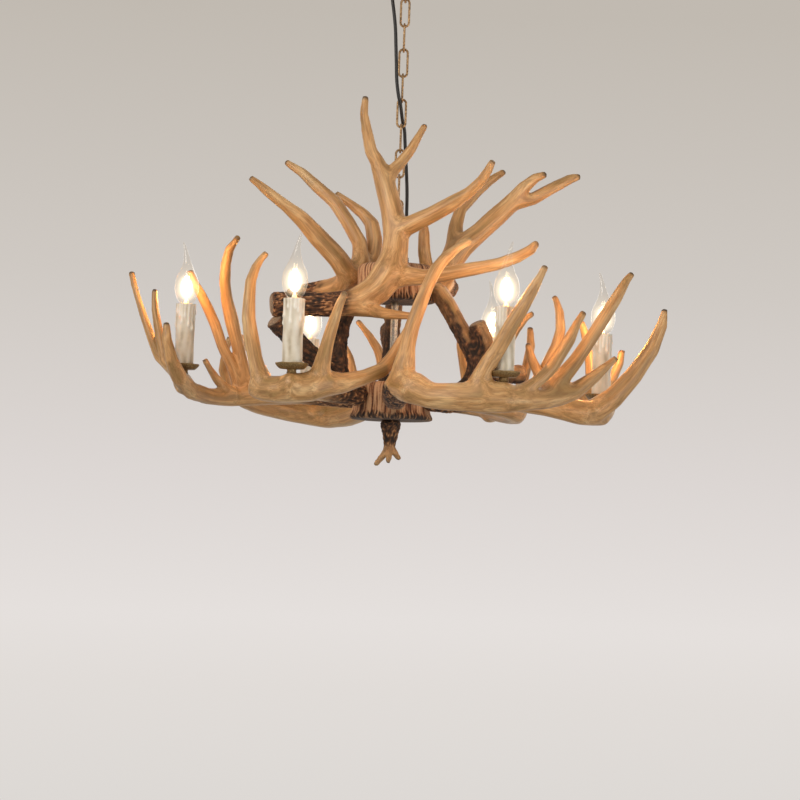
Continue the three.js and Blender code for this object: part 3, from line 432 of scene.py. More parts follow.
def ramp(values, low, high):
    # smooth 0 to 1 from low to high
    share = np.clip((np.asarray(values, float) - low) / (high - low), 0, 1)
    return share * share * (3 - 2 * share)


def joinPieces(pieces):
    deselect()
    for piece in pieces:
        piece.select_set(True)
    bpy.context.view_layer.objects.active = pieces[0]
    bpy.ops.object.transform_apply(location=True, rotation=True, scale=True)
    bpy.ops.object.join()
    return bpy.context.object


def copyOf(piece):
    twin = piece.copy()
    twin.data = piece.data.copy()
    bpy.context.scene.collection.objects.link(twin)
    return twin


# Supply cord: the part's route, one piece for each bend of the chain
cordPath = [
    (-0.020, -0.006, -0.022), (-0.020, -0.006, -0.038), (-0.019, -0.008, -0.050),
    (-0.016, -0.010, -0.070), (-0.013, -0.0115, -0.095), (-0.0115, -0.012, -0.120),
    (-0.010, -0.012, -0.145), (-0.0085, -0.0115, -0.170), (-0.005, -0.0108, -0.193),
    (-0.002, -0.006, -0.204), (0.0, 0.0, -0.2156), (0.002, 0.006, -0.227),
    (0.005, 0.0108, -0.238), (0.0065, 0.0115, -0.256), (0.0085, 0.0115, -0.280),
    (0.0105, 0.0115, -0.305), (0.012, 0.011, -0.330), (0.0125, 0.011, -0.355),
    (0.0125, 0.0115, -0.380), (0.0125, 0.012, -0.400), (0.013, 0.012, -0.410),
    (0.014, 0.012, -0.422), (0.014, 0.012, -0.430), (0.014, 0.012, -0.4378),
]
supplyCord = {"diameter": 0.005, "perSpan": 6, "bendReach": 0.014}
cordBends = [
    ("cordUpper", "ceiling_fitting", "chain_upper", -0.0513, -0.143),
    ("cordMiddle", "chain_upper", "chain_lower", -0.23595, -0.328),
    ("cordLower", "chain_lower", "chandelier", -0.42095, -1.0),
]


def makeCord():
    route = [Vector(p) for p in eased(cordPath, supplyCord["perSpan"])]
    start = 0
    for name, upper, lower, bendHeight, splitHeight in cordBends:
        stop = next((i for i, p in enumerate(route) if p.z < splitHeight), len(route) - 1)
        stretch = route[start:stop + 1]
        start = stop
        line = bpy.data.curves.new(name, "CURVE")
        line.dimensions = "3D"
        line.bevel_depth = supplyCord["diameter"] / 2
        line.bevel_resolution = 5
        line.use_fill_caps = True
        spline = line.splines.new("POLY")
        spline.points.add(len(stretch) - 1)
        for point, place in zip(spline.points, stretch):
            point.co = (*place, 1)
        piece = bpy.data.objects.new(name, line)
        bpy.context.scene.collection.objects.link(piece)
        activate(piece)
        bpy.ops.object.convert(target="MESH")
        piece = bpy.context.object
        bpy.ops.object.shade_smooth()
        piece.data.materials.append(finishes["cordRubber"])
        reach = supplyCord["bendReach"]
        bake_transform(piece, upper, lower, start=(0, 0, bendHeight + reach), end=(0, 0, bendHeight - reach))
        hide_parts("supply_cord")


makeCord()

# Antlers, braces and finial: the CAD limbs rounded off, then furrowed along each limb
limbCast = {  # mm, but for the voxel in metres, the shares, the passes and what they draw and give back
    "voxel": 1.9 * mm,
    "easeShare": 0.36, "evenPasses": 10, "draw": 0.5, "giveBack": 0.53,
    "probeStart": 0.4, "probeReach": 80, "unknownAcross": 30, "thinnest": 1.2, "thickest": 22,
    "swell": 0.2, "swellShare": 0.075, "thinSwell": 0.9, "thinFrom": 5, "thinTo": 9,
    "grainWidth": 3.2, "grainLength": 46, "grainDepth": 0.12, "grainFrom": 2, "grainTo": 6,
    "barkWidth": 3.4, "barkLength": 15, "barkDepth": 1.9, "beadSize": 4.2,
    "waveSize": 30, "waveDepth": 0.5,
    "tipReach": 8, "tipFrom": 3.2, "tipTo": 4.9, "tipThin": 5, "tipThick": 8,
}
rootBark = {"full": 0.105, "gone": 0.165}  # how far out from the chain's line the roots keep their bark
sawnLogs = {
    # node: end's middle, way out, bark's length along the log, radius
    "front_upper_antler": [((-0.1745, -0.1247, -0.5134), (-0.99, -0.14, -0.08), 0.125, 0.0189)],
    "right_upper_antler": [((0.078, 0.1305, -0.456), (0.14, 0.99, 0.05), 0.085, 0.0174)],
    "left_upper_antler": [((-0.1546, 0.116, -0.4805), (-0.72, 0.69, -0.11), 0.09, 0.0174)],
    "left_brace": [((-0.1684, -0.1218, -0.5319), (-0.65, -0.39, 0.66), 0.2, 0.0159)],
    "right_brace": [((0.1166, -0.0638, -0.5225), (-0.43, -0.19, 0.88), 0.2, 0.0131),
                    ((0.1886, 0.0, -0.59), (0.8, 0.6, 0.1), 0.2, 0.0145)],
    "rear_brace": [((-0.0069, 0.1798, -0.5148), (-0.02, 0.83, 0.55), 0.2, 0.0152)],
}
barkKnobs = {
    # node: middle and reach of a bark patch
    "front_right_antler": [((-0.012, -0.205, -0.676), 0.053), ((-0.006, -0.166, -0.668), 0.052)],
}
barkShare = {"right_brace": 0.55, "left_brace": 0.9, "rear_brace": 0.9}  # how much bark the sawn ends keep
barkHeights = {
    # heights over the ring of candle antlers between which bark thins, or grows for the finial
    "brace": (0.095, 0.15), "wearAndHighlight": (0.01, 0.05), "finial": (-0.078, -0.06),
}
barkEdge = {"barkFade": 0.03, "knobEdge": 0.006, "faceFrom": 0.002, "faceTo": 0.0035}
tanSideWay = np.array([0.86, -0.2, 0.47])  # the right brace's upper right side, lightened from bark to tan: partly bark rubbed down and partly a painted highlight where light falls on it
candleAntlers = ["left_antler", "front_left_antler", "front_right_antler", "right_antler",
                 "rear_right_antler", "rear_left_antler"]
upperAntlers = ["front_upper_antler", "right_upper_antler", "left_upper_antler"]
braces = ["left_brace", "right_brace", "rear_brace"]


def roundedCopy(node):
    # a merged copy of a CAD node, remeshed and smoothed
    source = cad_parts[node]
    piece = bpy.data.objects.new(node + "_cast", source.data.copy())
    bpy.context.scene.collection.objects.link(piece)
    activate(piece)
    bpy.ops.object.mode_set(mode="EDIT")
    bpy.ops.mesh.select_all(action="SELECT")
    bpy.ops.mesh.remove_doubles(threshold=0.02 * mm)
    bpy.ops.object.mode_set(mode="OBJECT")
    remesh = piece.modifiers.new("remesh", "REMESH")
    remesh.mode = "VOXEL"
    remesh.voxel_size = limbCast["voxel"]
    smooth = piece.modifiers.new("smooth", "SMOOTH")
    smooth.factor = 0.5
    smooth.iterations = 3
    applyAll(piece)
    bpy.ops.object.shade_smooth()
    for attribute in [a.name for a in piece.data.attributes if a.name.startswith(("Color", "color"))]:
        piece.data.attributes.remove(piece.data.attributes[attribute])
    return piece


def limbBark(node, places, outward):
    # how much bark and how much sawn face each point has
    bark = np.zeros(len(places))
    sawn = np.zeros(len(places))
    wander = np.array([noise.noise(Vector(p / 0.012)) for p in places])
    above = places[:, 2] - ringLevel
    if node in candleAntlers:
        out = np.hypot(places[:, 0], places[:, 1]) + wander * 0.016
        bark = 1 - ramp(out, rootBark["full"], rootBark["gone"])
    if node in braces:
        bark = 0.7 + 0.3 * (1 - ramp(above + wander * 0.02, *barkHeights["brace"]))
    if node == "right_brace":
        # painted highlight: above the ring, the right brace's upper right side turns from bark to tan,
        # partly as rubbed bark and partly as painted highlight where light falls
        wearAndHighlight = ramp(outward @ tanSideWay + wander * 0.35, 0.1, 0.5)
        bark -= 0.8 * wearAndHighlight * ramp(above + wander * 0.02, *barkHeights["wearAndHighlight"])
    if node == "finial":
        bark = 0.35 + 0.65 * ramp(above + wander * 0.006, *barkHeights["finial"])
    for middle, reach in barkKnobs.get(node, []):
        away = np.linalg.norm(places - np.array(middle), axis=1) + wander * 0.007
        bark = np.maximum(bark, 1 - ramp(away, reach - barkEdge["knobEdge"], reach))
    for end, way, length, radius in sawnLogs.get(node, []):
        way = np.array(way) / np.linalg.norm(way)
        inward = -(places - np.array(end)) @ way
        aside = np.linalg.norm(places - np.array(end) + inward[:, None] * way, axis=1)
        fade = barkEdge["barkFade"]
        near = (aside < radius * 2.2) & (inward < length + fade)
        log = near * (1 - ramp(inward + wander * 0.012, length - fade, length))
        bark = np.maximum(bark, log * barkShare.get(node, 1))
        face = (aside < radius * 0.99) * (1 - ramp(inward, barkEdge["faceFrom"], barkEdge["faceTo"]))
        sawn = np.maximum(sawn, face)
    return bark, sawn


def limbRelief(piece, node, seed):
    # furrows, beads and swells, and the marks that the paint follows
    cast = limbCast
    mesh = piece.data
    places = vertexPlaces(mesh)
    count = len(places)
    normals = np.empty(count * 3, np.float32)
    pairs = np.empty(len(mesh.edges) * 2, np.int32)
    mesh.edges.foreach_get("vertices", pairs)
    a, b = pairs.reshape(-1, 2).T
    shared = np.bincount(a, minlength=count) + np.bincount(b, minlength=count) + 1.0

    def averaged(values, passes):
        for _ in range(passes):
            total = values.copy()
            for column in range(values.shape[1]):
                total[:, column] += np.bincount(a, values[b, column], count)
                total[:, column] += np.bincount(b, values[a, column], count)
            values = total / shared[:, None]
        return values

    def smoothNormals(passes):
        mesh.vertices.foreach_get("normal", normals)
        ways = averaged(normals.reshape(-1, 3).astype(float), passes)
        return ways / np.maximum(np.linalg.norm(ways, axis=1), 1e-6)[:, None]

    # half the way through the limb from each point, evened out
    outward = smoothNormals(8)
    across = np.full(count, cast["unknownAcross"] * mm)
    bpy.context.view_layer.update()
    for i, (place, normal) in enumerate(zip(places, outward)):
        way = Vector(-normal)
        start = Vector(place) + way * cast["probeStart"] * mm
        found, spot, _, _ = piece.ray_cast(start, way, distance=cast["probeReach"] * mm)
        if found:
            across[i] = (spot - start).length
    radius = np.clip(across / 2, cast["thinnest"] * mm, cast["thickest"] * mm)
    radius = averaged(radius[:, None], 16)[:, 0]
    # thick limbs are eased most, so that flats go and thin tips stay
    passes = (cast["easeShare"] * radius / cast["voxel"]) ** 2 * 4
    for k in range(int(passes.max()) + 1):
        pull = np.clip(passes - k, 0, 1)[:, None]
        places = places + pull * cast["draw"] * (averaged(places, 1) - places)
    # then steps of the remesh are taken out without thinning anything
    for _ in range(cast["evenPasses"]):
        places = places + cast["draw"] * (averaged(places, 1) - places)
        places = places - cast["giveBack"] * (averaged(places, 1) - places)
    setPlaces(mesh, places)
    outward = smoothNormals(3)
    # tips are where averaging draws a point far along its limb
    tipPasses = int((cast["tipReach"] * mm / cast["voxel"]) ** 2 * 2.6)
    drawn = np.linalg.norm(places - averaged(places, tipPasses), axis=1) / mm
    thick = radius / mm
    tip = ramp(drawn, cast["tipFrom"], cast["tipTo"]) * (1 - ramp(thick, cast["tipThin"], cast["tipThick"]))
    girth = smoothNormals(14) * thick[:, None]  # how far round its limb each point lies, for the streaks
    bark, sawn = limbBark(node, places, outward)
    spots = places / mm
    shift = Vector((seed * 13.1, seed * 7.7, seed * 3.3))
    grain, furrow, bead, wave = (np.empty(count) for _ in range(4))
    for i in range(count):
        ring, spot = Vector(girth[i]), Vector(spots[i])
        grain[i] = noise.noise(ring / cast["grainWidth"] + spot / cast["grainLength"] + shift)
        wave[i] = noise.noise(spot / cast["waveSize"] + shift)
        if bark[i] > 0:
            furrow[i] = noise.noise(ring / cast["barkWidth"] + spot / cast["barkLength"] - shift)
            bead[i] = noise.noise(spot / cast["beadSize"] + shift)
        else:
            furrow[i] = bead[i] = 0
    ridge = np.clip(1 - np.abs(furrow) * 2.6, -0.4, 1) * 0.62 + bead * 0.5
    crest = 0.62 * ridge + 0.16 if node in braces else 0.8 * ridge + 0.25
    rough = bark * (1 - sawn)
    smoothLimb = (1 - bark) * ramp(thick, cast["grainFrom"], cast["grainTo"])
    lift = (cast["swell"] + cast["swellShare"] * thick) * (1 - sawn * 0.6)
    lift += rough * (cast["barkDepth"] * (ridge - 0.35))
    lift += smoothLimb * (cast["grainDepth"] * grain + cast["waveDepth"] * wave)
    lift += cast["thinSwell"] * (1 - bark) * (1 - ramp(thick, cast["thinFrom"], cast["thinTo"]))
    setPlaces(mesh, np.clip(places + outward * (lift * mm)[:, None], cadLow, cadHigh))
    setMark(mesh, "girth", girth, "FLOAT_VECTOR")
    setMark(mesh, "bark", bark)
    setMark(mesh, "sawn", sawn)
    setMark(mesh, "ridge", bark * np.clip(crest, 0, 1) + (1 - bark) * (0.5 + grain * 0.7))
    setMark(mesh, "tip", (1 - bark) * tip)


for seed, node in enumerate(candleAntlers + upperAntlers + braces + ["finial"]):
    limb = roundedCopy(node)
    limbRelief(limb, node, seed + 1)
    finishPiece(limb, node + "Cast", "antler", "chandelier", [node])
    print(node, "dressed with", len(limb.data.vertices), "points")

# Hubs: spun columns with upright furrows and a torn dark skirt
hubCast = {
    "profile": [(0, 0), (30, 0), (52, 0), (57, 0.5), (59.5, 2), (60, 4.5), (59, 7.5), (57.6, 10),
                (56.6, 13), (56, 17), (55.6, 22), (55.6, 27), (55.8, 32), (56, 37), (56, 42), (55.4, 46),
                (54, 49.5), (52, 52), (49, 53.6), (44, 54), (30, 54), (14, 54), (0, 54)],
    "steps": 320, "furrows": 58, "furrowDepth": 1.2, "skirtDepth": 2.2, "skirtTop": 10, "torn": 7,
}


def makeHub(name, node, seed):
    hub = spunShape(hubCast["profile"], hubCast["steps"])
    mesh = hub.data
    places = vertexPlaces(mesh)
    turn = np.arctan2(places[:, 1], places[:, 0])
    out = np.hypot(places[:, 0], places[:, 1])
    furrow = np.empty(len(places))
    tooth = np.empty(len(places))
    for i, angle in enumerate(turn):
        way = Vector((math.cos(angle), math.sin(angle), 0)) * hubCast["furrows"] / 2
        fine = noise.noise(way + Vector((0, 0, places[i, 2] / 0.05 + seed)))
        broad = noise.noise(way / 3 + Vector((0, 0, places[i, 2] / 0.03 + seed)))
        furrow[i] = fine * 0.75 + 0.35 * broad
        tooth[i] = noise.noise(way * 0.8 + Vector((seed, 0, places[i, 2] / 0.007)))
    side = ramp(out, 0.046, 0.053)
    height = places[:, 2] / mm
    skirt = side * (1 - ramp(height + tooth * hubCast["torn"], hubCast["skirtTop"] - 5, hubCast["skirtTop"]))
    under = 1 - ramp(height, 0.3, 2.5)
    column, torn = hubCast["furrowDepth"] * (furrow - 0.35), hubCast["skirtDepth"] * (tooth - 0.2)
    depth = side * (column * (1 - skirt) + torn * skirt)
    outward = places * [1, 1, 0] / np.maximum(out, 1e-6)[:, None]
    places = places + outward * (depth * mm)[:, None]
    setPlaces(mesh, places)
    setMark(mesh, "ridge", np.clip(0.5 + furrow * 1.1 * (1 - skirt) + tooth * 0.9 * skirt, 0, 1))
    setMark(mesh, "bark", np.maximum(skirt, under))
    low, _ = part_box(node)
    hub.location = (0, 0, low.z)
    finishPiece(hub, name, "burr", "chandelier", [node])


makeHub("lowerHubCast", "lower_hub", 3)
makeHub("upperHubCast", "upper_hub", 8)
print("hubs made")

# Candles: one set is made at the origin and copied to the six places
candleLamps = {  # the way round that each bulb's tail bends, in degrees, and its light in watts
    "left": (180, 0.45), "front_left": (0, 0.12), "front_right": (20, 0.48), "right": (180, 0.75),
    "rear_right": (160, 0.36), "rear_left": (200, 0.32),
}
cupShape = {
    "profile": [(0, -8), (6.6, -8), (7, -7.4), (6.2, -5), (6.4, -3), (8, -2.1), (12, -2), (16.6, -1.8),
                (19.6, 0.6), (21.8, 3.2), (22.5, 4.6), (22.5, 5.6), (22.1, 6), (21.4, 6), (20.8, 5.4),
                (19.2, 3.2), (16.8, 0.7), (15, 0), (8, 0), (0, 0)],
    "steps": 64, "stub": 8, "dentSize": 9, "dentDepth": 0.5,
}
waxSleeve = {
    "radius": 13.6, "inner": 12, "length": 93, "rings": 62, "steps": 96, "foot": 0.3, "turn": 1.1,
    "drips": 17, "dripDepth": 1.7, "rippleDepth": 0.5, "shortest": 9, "longer": 44, "dripWidth": 1.7,
}
flameBulb = {
    "glass": [(0, 0.3), (8.6, 0.6), (10.8, 2.8), (13.4, 7), (15.75, 12.9), (17.2, 19), (17.5, 24),
              (17.1, 30), (16.2, 35), (14.2, 40.5), (11.4, 46), (8.6, 53), (6.2, 60), (4.4, 67), (3.1, 76),
              (2.1, 84), (1.1, 89.2), (0, 90)],
    "bodyHeight": 46, "tailLength": 44, "tailBend": 7, "foot": 93.6, "steps": 48,
}
lampCap = {"radius": 7, "length": 26.0, "thread": 2.6, "threadDepth": 0.5, "rings": 46}
glowShells = [(14.8, 0.07), (12.7, 0.1), (10.6, 0.18), (8.6, 0.7)]  # reach in mm, light
lampLight = {"colour": "#FFB264", "radius": 14, "height": 118, "glowHeight": 23, "glowStretch": 6}
filaments = {"count": 4, "foot": 12, "length": 27, "footSpread": 3.6, "topSpread": 2.6, "radius": 1.25}


def makeCup():
    cup = spunShape(cupShape["profile"], cupShape["steps"])
    mesh = cup.data
    places = vertexPlaces(mesh)
    out = np.hypot(places[:, 0], places[:, 1]) / mm
    dent = np.array([noise.noise(Vector(p / mm / cupShape["dentSize"])) for p in places])
    places[:, 2] += ramp(out, 15, 22) * dent * cupShape["dentDepth"] * mm
    setPlaces(mesh, places)
    return cup


def makeSleeve():
    # a thin tube whose rim has run down in drips
    wax = waxSleeve
    profile = [(wax["radius"], wax["length"] * i / wax["rings"]) for i in range(wax["rings"] + 1)]
    profile += [(wax["radius"] - 0.9, wax["length"] + 0.2), (wax["inner"], wax["length"] - 0.4)]
    profile += [(wax["inner"], 80), (wax["inner"], 0), (wax["radius"], 0)]
    sleeve = spunShape(profile, wax["steps"])
    mesh = sleeve.data
    places = vertexPlaces(mesh)
    turn = np.arctan2(places[:, 1], places[:, 0])
    out = np.hypot(places[:, 0], places[:, 1]) / mm
    height = places[:, 2] / mm
    drip = np.zeros(len(places))
    for k in range(wax["drips"]):
        pick = noise.noise(Vector((k * 3.7, 1.3, 0.4)))
        middle = math.tau * (k + 0.45 * pick) / wax["drips"]
        pull = abs(noise.noise(Vector((k * 1.9, 7.1, 2.2)))) ** 0.8
        run = wax["shortest"] + wax["longer"] * pull * (1.6 if k % 3 == 0 else 0.8)
        aside = np.abs((turn - middle + math.pi) % math.tau - math.pi) * wax["radius"]
        end = wax["length"] - run
        width = wax["dripWidth"] + 0.5 * pick
        stem = np.exp(-(aside / width) ** 2) * ramp(height, end - 2.5, end + 1.5)
        bulge = np.exp(-(aside / (width * 1.15)) ** 2 - ((height - end - 1.5) / 3.2) ** 2)
        drip = np.maximum(drip, 0.6 * stem + 0.5 * bulge)
    collar = ramp(height, wax["length"] - 7, wax["length"] - 3) * 0.55
    ripple = np.array([noise.noise(Vector((p.x * 160, p.y * 160, p.z * 40))) for p in map(Vector, places)])
    outer = ramp(out, wax["inner"] + 0.4, wax["radius"] - 0.3)
    grow = outer * (wax["dripDepth"] * np.maximum(drip, collar) + wax["rippleDepth"] * ripple)
    places[:, :2] *= (1 + grow / np.maximum(out, 1))[:, None]
    setPlaces(mesh, places)
    setMark(mesh, "ridge", np.clip(0.2 + 0.65 * drip + 0.3 * ripple, 0, 1))
    return sleeve


def bendTail(places):
    above = np.clip((places[:, 2] / mm - flameBulb["bodyHeight"]) / flameBulb["tailLength"], 0, None)
    places[:, 0] += flameBulb["tailBend"] * mm * above ** 2
    return places


def makeGlass():
    profile = [(max(r, 0), z) for r, z in eased(flameBulb["glass"], 3)]
    glass = spunShape(profile, flameBulb["steps"])
    bpy.ops.object.shade_smooth()
    places = bendTail(vertexPlaces(glass.data))
    setPlaces(glass.data, places)
    height = places[:, 2] / mm
    lit = 0.78 * ramp(height, 1, 14) * (1 - ramp(height, 30, 64)) + 0.04
    setMark(glass.data, "lit", lit)
    return glass


def makeCap():
    # screw cap below the glass: threaded shell, then an insulator and a tip contact
    cap = lampCap
    rings = cap["rings"]
    foot = -cap["length"]
    profile = [(0, foot), (2.2, foot), (2.6, foot + 1), (5.2, foot + 2.4)]
    for i in range(rings + 1):
        z = foot + 3.2 + (cap["length"] - 4.6) * i / rings
        wave = 0.5 + 0.5 * math.cos(math.tau * z / cap["thread"])
        profile.append((cap["radius"] - cap["threadDepth"] * wave, z))
    profile += [(cap["radius"], -1.0), (8.2, 0), (8.4, 0.5), (0, 0.6)]
    return spunShape(profile, 32)


def makeFilaments():
    # upright rods that lean together
    parts = []
    for k in range(filaments["count"]):
        turn = math.tau * (k + 0.5) / filaments["count"]
        way = Vector((math.cos(turn), math.sin(turn), 0))
        foot = way * filaments["footSpread"] + Vector((0, 0, filaments["foot"]))
        top = way * filaments["topSpread"] + Vector((0, 0, filaments["foot"] + filaments["length"]))
        lean = (top - foot).to_track_quat("Z", "Y").to_euler()
        bpy.ops.mesh.primitive_uv_sphere_add(segments=16, ring_count=12, radius=filaments["radius"] * mm,
                                             location=(foot + top) / 2 * mm, rotation=lean)
        rod = bpy.context.object
        places = vertexPlaces(rod.data)
        places[:, 2] += filaments["length"] / 2 * mm * np.sign(places[:, 2])
        setPlaces(rod.data, places)
        bpy.ops.object.shade_smooth()
        parts.append(rod)
    return joinPieces(parts)


def makeGlow():
    # nested egg-shaped shells round the filaments
    shells = []
    for reach, brightness in glowShells:
        bpy.ops.mesh.primitive_uv_sphere_add(segments=40, ring_count=24, radius=reach * mm,
                                             location=(0, 0, lampLight["glowHeight"] * mm))
        shell = bpy.context.object
        places = vertexPlaces(shell.data)
        places[:, 2] *= 1 + lampLight["glowStretch"] / reach
        setPlaces(shell.data, places)
        bpy.ops.object.transform_apply(location=True)
        bpy.ops.object.shade_smooth()
        setMark(shell.data, "lit", np.full(len(places), brightness))
        shells.append(shell)
    return joinPieces(shells)


def makeStem():
    # pale stem that holds the filament rods, from the cap up
    profile = [(0, 1), (4.2, 1), (3.4, 3), (1.8, 7), (1.3, 12), (1.2, 24), (1.0, 38), (0.5, 40.5), (0, 41)]
    return spunShape(profile, 20)


def placeCandles():
    parts = {
        "Cup": (makeCup(), "cup", "bronze_metal"),
        "Sleeve": (makeSleeve(), "wax", "ivory_sleeve"),
        "Glass": (makeGlass(), "glass", "bulb_glass"),
        "Cap": (makeCap(), "capMetal", "socket_body"),
        "Filaments": (makeFilaments(), "filament", "bulb_glass"),
        "Stem": (makeStem(), "socket", "socket_body"),
        "Glow": (makeGlow(), "glow", "bulb_glass"),
    }
    nodeStarts = {"Cup": "cup_", "Sleeve": "sleeve_", "Glass": "bulb_"}
    for order, (candle, (tailTurn, power)) in enumerate(candleLamps.items()):
        low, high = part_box("cup_" + candle)
        foot = Vector(((low.x + high.x) / 2, (low.y + high.y) / 2, low.z + cupShape["stub"] * mm))
        for part, (model, finish, slotName) in parts.items():
            piece = copyOf(model)
            inLamp = part in ("Glass", "Cap", "Filaments", "Stem", "Glow")
            lift = flameBulb["foot"] * mm if inLamp else waxSleeve["foot"] * mm if part == "Sleeve" else 0
            turn = math.radians(tailTurn) if inLamp else order * waxSleeve["turn"]
            piece.rotation_euler = (0, 0, turn)
            piece.location = foot + Vector((0, 0, lift))
            nodes = [nodeStarts[part] + candle] if part in nodeStarts else []
            body = "lamp_" + candle if inLamp else "chandelier"
            finishPiece(piece, candle + part, finish, body, nodes)
            if inLamp:
                piece.visible_shadow = False
        repaint("socket_" + candle, "socket")
        addLight("POINT", candle, foot + Vector((0, 0, lampLight["height"] * mm)), power,
                 lampLight["colour"], radius=lampLight["radius"] * mm)
    for model, _, _ in parts.values():
        bpy.data.objects.remove(model)


placeCandles()
print("candles made")

# Chain: stretched rings, every other one turned
chainLink = {
    "width": 15.5, "inner": 37.3, "wire": 3.3, "around": 48, "wireSides": 14,
    "dentSize": 4, "dentShare": 0.012,
}
ringLoop = {"width": 21, "wire": 4, "reach": 21, "stud": 26.2, "canopyHeight": -30.3}


def stretchedRing(width, inner, wire):
    # a torus standing on edge, its upper half lifted away from its lower half
    bend = (width - wire) / 2
    bpy.ops.mesh.primitive_torus_add(
        major_segments=chainLink["around"], minor_segments=chainLink["wireSides"],
        major_radius=bend * mm, minor_radius=wire / 2 * mm, rotation=(math.pi / 2, 0, 0))
    ring = bpy.context.object
    bpy.ops.object.transform_apply(rotation=True)
    half = (inner + wire - 2 * bend) / 2 * mm
    places = vertexPlaces(ring.data)
    places[:, 2] += half * np.sign(np.round(places[:, 2], 6))
    dent = np.array([noise.noise(Vector(p / mm / chainLink["dentSize"])) for p in places])
    places[:, :2] *= (1 + dent * chainLink["dentShare"])[:, None]
    setPlaces(ring.data, places)
    bpy.ops.object.shade_smooth()
    return ring


def makeChain():
    for number in range(1, 11):
        node = "chain_link_" + str(number)
        low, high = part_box(node)
        ring = stretchedRing(chainLink["width"], chainLink["inner"], chainLink["wire"])
        ring.rotation_euler = (0, 0, math.pi / 2 if number % 2 else 0)
        ring.location = (0, 0, (low.z + high.z) / 2)
        body = "chain_lower" if number <= 5 else "chain_upper"
        finishPiece(ring, "chainLink" + str(number), "chain", body, [node])


makeChain()


def loopWithCollar(stud=None):
    # cast ring on a stepped round collar, with a stud when it hangs from the canopy
    ring = stretchedRing(ringLoop["width"], ringLoop["width"] - 2 * ringLoop["wire"], ringLoop["wire"])
    ring.location.z = (ringLoop["reach"] - (ringLoop["width"] - ringLoop["wire"]) / 2) * mm
    profile = [(0, 0), (11.4, 0), (12, 0.6), (12, 1.8), (11.2, 2.6), (9.6, 3.2), (9, 4.2), (8.2, 5.6),
               (6.4, 6), (0, 6)]
    collar = spunShape(profile, 40)
    parts = [ring, collar]
    if stud:
        bar = [(0, 0.5), (3.8, 0.5), (4, 0), (4, -stud), (3.4, -stud - 0.6), (0, -stud - 0.6)]
        parts.append(spunShape(bar, 24))
    return joinPieces(parts)


def makeLoops():
    low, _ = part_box("hub_loop")
    loop = loopWithCollar()
    loop.location.z = low.z
    finishPiece(loop, "hubLoopRing", "chain", "chandelier", ["hub_loop"])
    loop = loopWithCollar(ringLoop["stud"])
    loop.rotation_euler = (math.pi, 0, math.pi / 2)
    loop.location.z = ringLoop["canopyHeight"] * mm
    finishPiece(loop, "canopyLoopRing", "chain", "ceiling_fitting", ["canopy_loop"])


makeLoops()
print("chain and loops made")

# Ceiling fitting, grips and centre rod
canopyShell = [(0, -30), (7, -30), (20, -30), (38, -30), (43, -29.6), (46, -28), (47.5, -25.5), (48.6, -22),
               (50.2, -16), (52, -9), (53.6, -4.5), (55, -2.4), (56, -1.8), (56, -0.5), (55.4, 0), (54, 0),
               (53.6, -1), (52, -4.5), (50.2, -9), (48.4, -16), (46.8, -22), (45.4, -25.5), (43.6, -27.6),
               (38, -28), (20, -28), (0, -28)]
gripSize = {"outer": 5, "tip": 3.7, "inner": 2.6, "ribs": 4, "ribDepth": 0.35}


def makeCeilingFitting():
    canopy = spunShape(canopyShell, 96)
    finishPiece(canopy, "canopyShell", "chain", "ceiling_fitting", ["canopy"])
    for number in (1, 2):
        node = "canopy_screw_" + str(number)
        low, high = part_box(node)
        dome = [(0, -33.3), (1.6, -33.1), (3.2, -32.5), (4.2, -31.6), (4.5, -30.8), (4.5, -30.3), (2, -30.3)]
        threads = [(2 - 0.25 * (i % 2), -29.6 + 28 * i / 56) for i in range(57)]
        screw = spunShape(dome + threads + [(1.6, -1), (0, -1)], 28)
        screw.location = ((low.x + high.x) / 2, (low.y + high.y) / 2, 0)
        finishPiece(screw, "canopyScrew" + str(number), "chain", "ceiling_fitting", [node])
    repaint("ceiling_bracket", "steel")


def makeGrip(name, node, body, wideEnd):
    # a tapered ribbed sleeve round the cord
    low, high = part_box(node)
    length = (high.z - low.z) / mm
    size = gripSize
    profile = [(size["inner"], 0), (size["outer"], 0)]
    steps = size["ribs"] * 4
    for i in range(1, steps):
        share = i / steps
        rib = size["ribDepth"] if i % 4 in (1, 2) else 0
        profile.append((size["outer"] + (size["tip"] - size["outer"]) * share - rib, length * share))
    profile += [(size["tip"], length), (size["inner"], length), (size["inner"], 0)]
    grip = spunShape(profile, 28)
    grip.rotation_euler = (math.pi if wideEnd == "top" else 0, 0, 0)
    grip.location = ((low.x + high.x) / 2, (low.y + high.y) / 2, high.z if wideEnd == "top" else low.z)
    finishPiece(grip, name, "gripNylon", body, [node])


def makeRod():
    low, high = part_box("centre_rod")
    length = (high.z - low.z) / mm
    profile = [(0, 0), (5.2, 0), (5.5, 0.5), (5.5, 8), (5.1, 8.4), (5.1, length - 8.4), (5.5, length - 8),
               (5.5, length - 0.5), (5.2, length), (0, length)]
    rod = spunShape(profile, 36)
    rod.location.z = low.z
    finishPiece(rod, "centreTube", "steel", "chandelier", ["centre_rod"])


makeCeilingFitting()
makeGrip("canopyCordGrip", "canopy_grip", "ceiling_fitting", "top")
makeGrip("hubCordGrip", "hub_grip", "chandelier", "bottom")
makeRod()
print("fitting, grips and rod made")

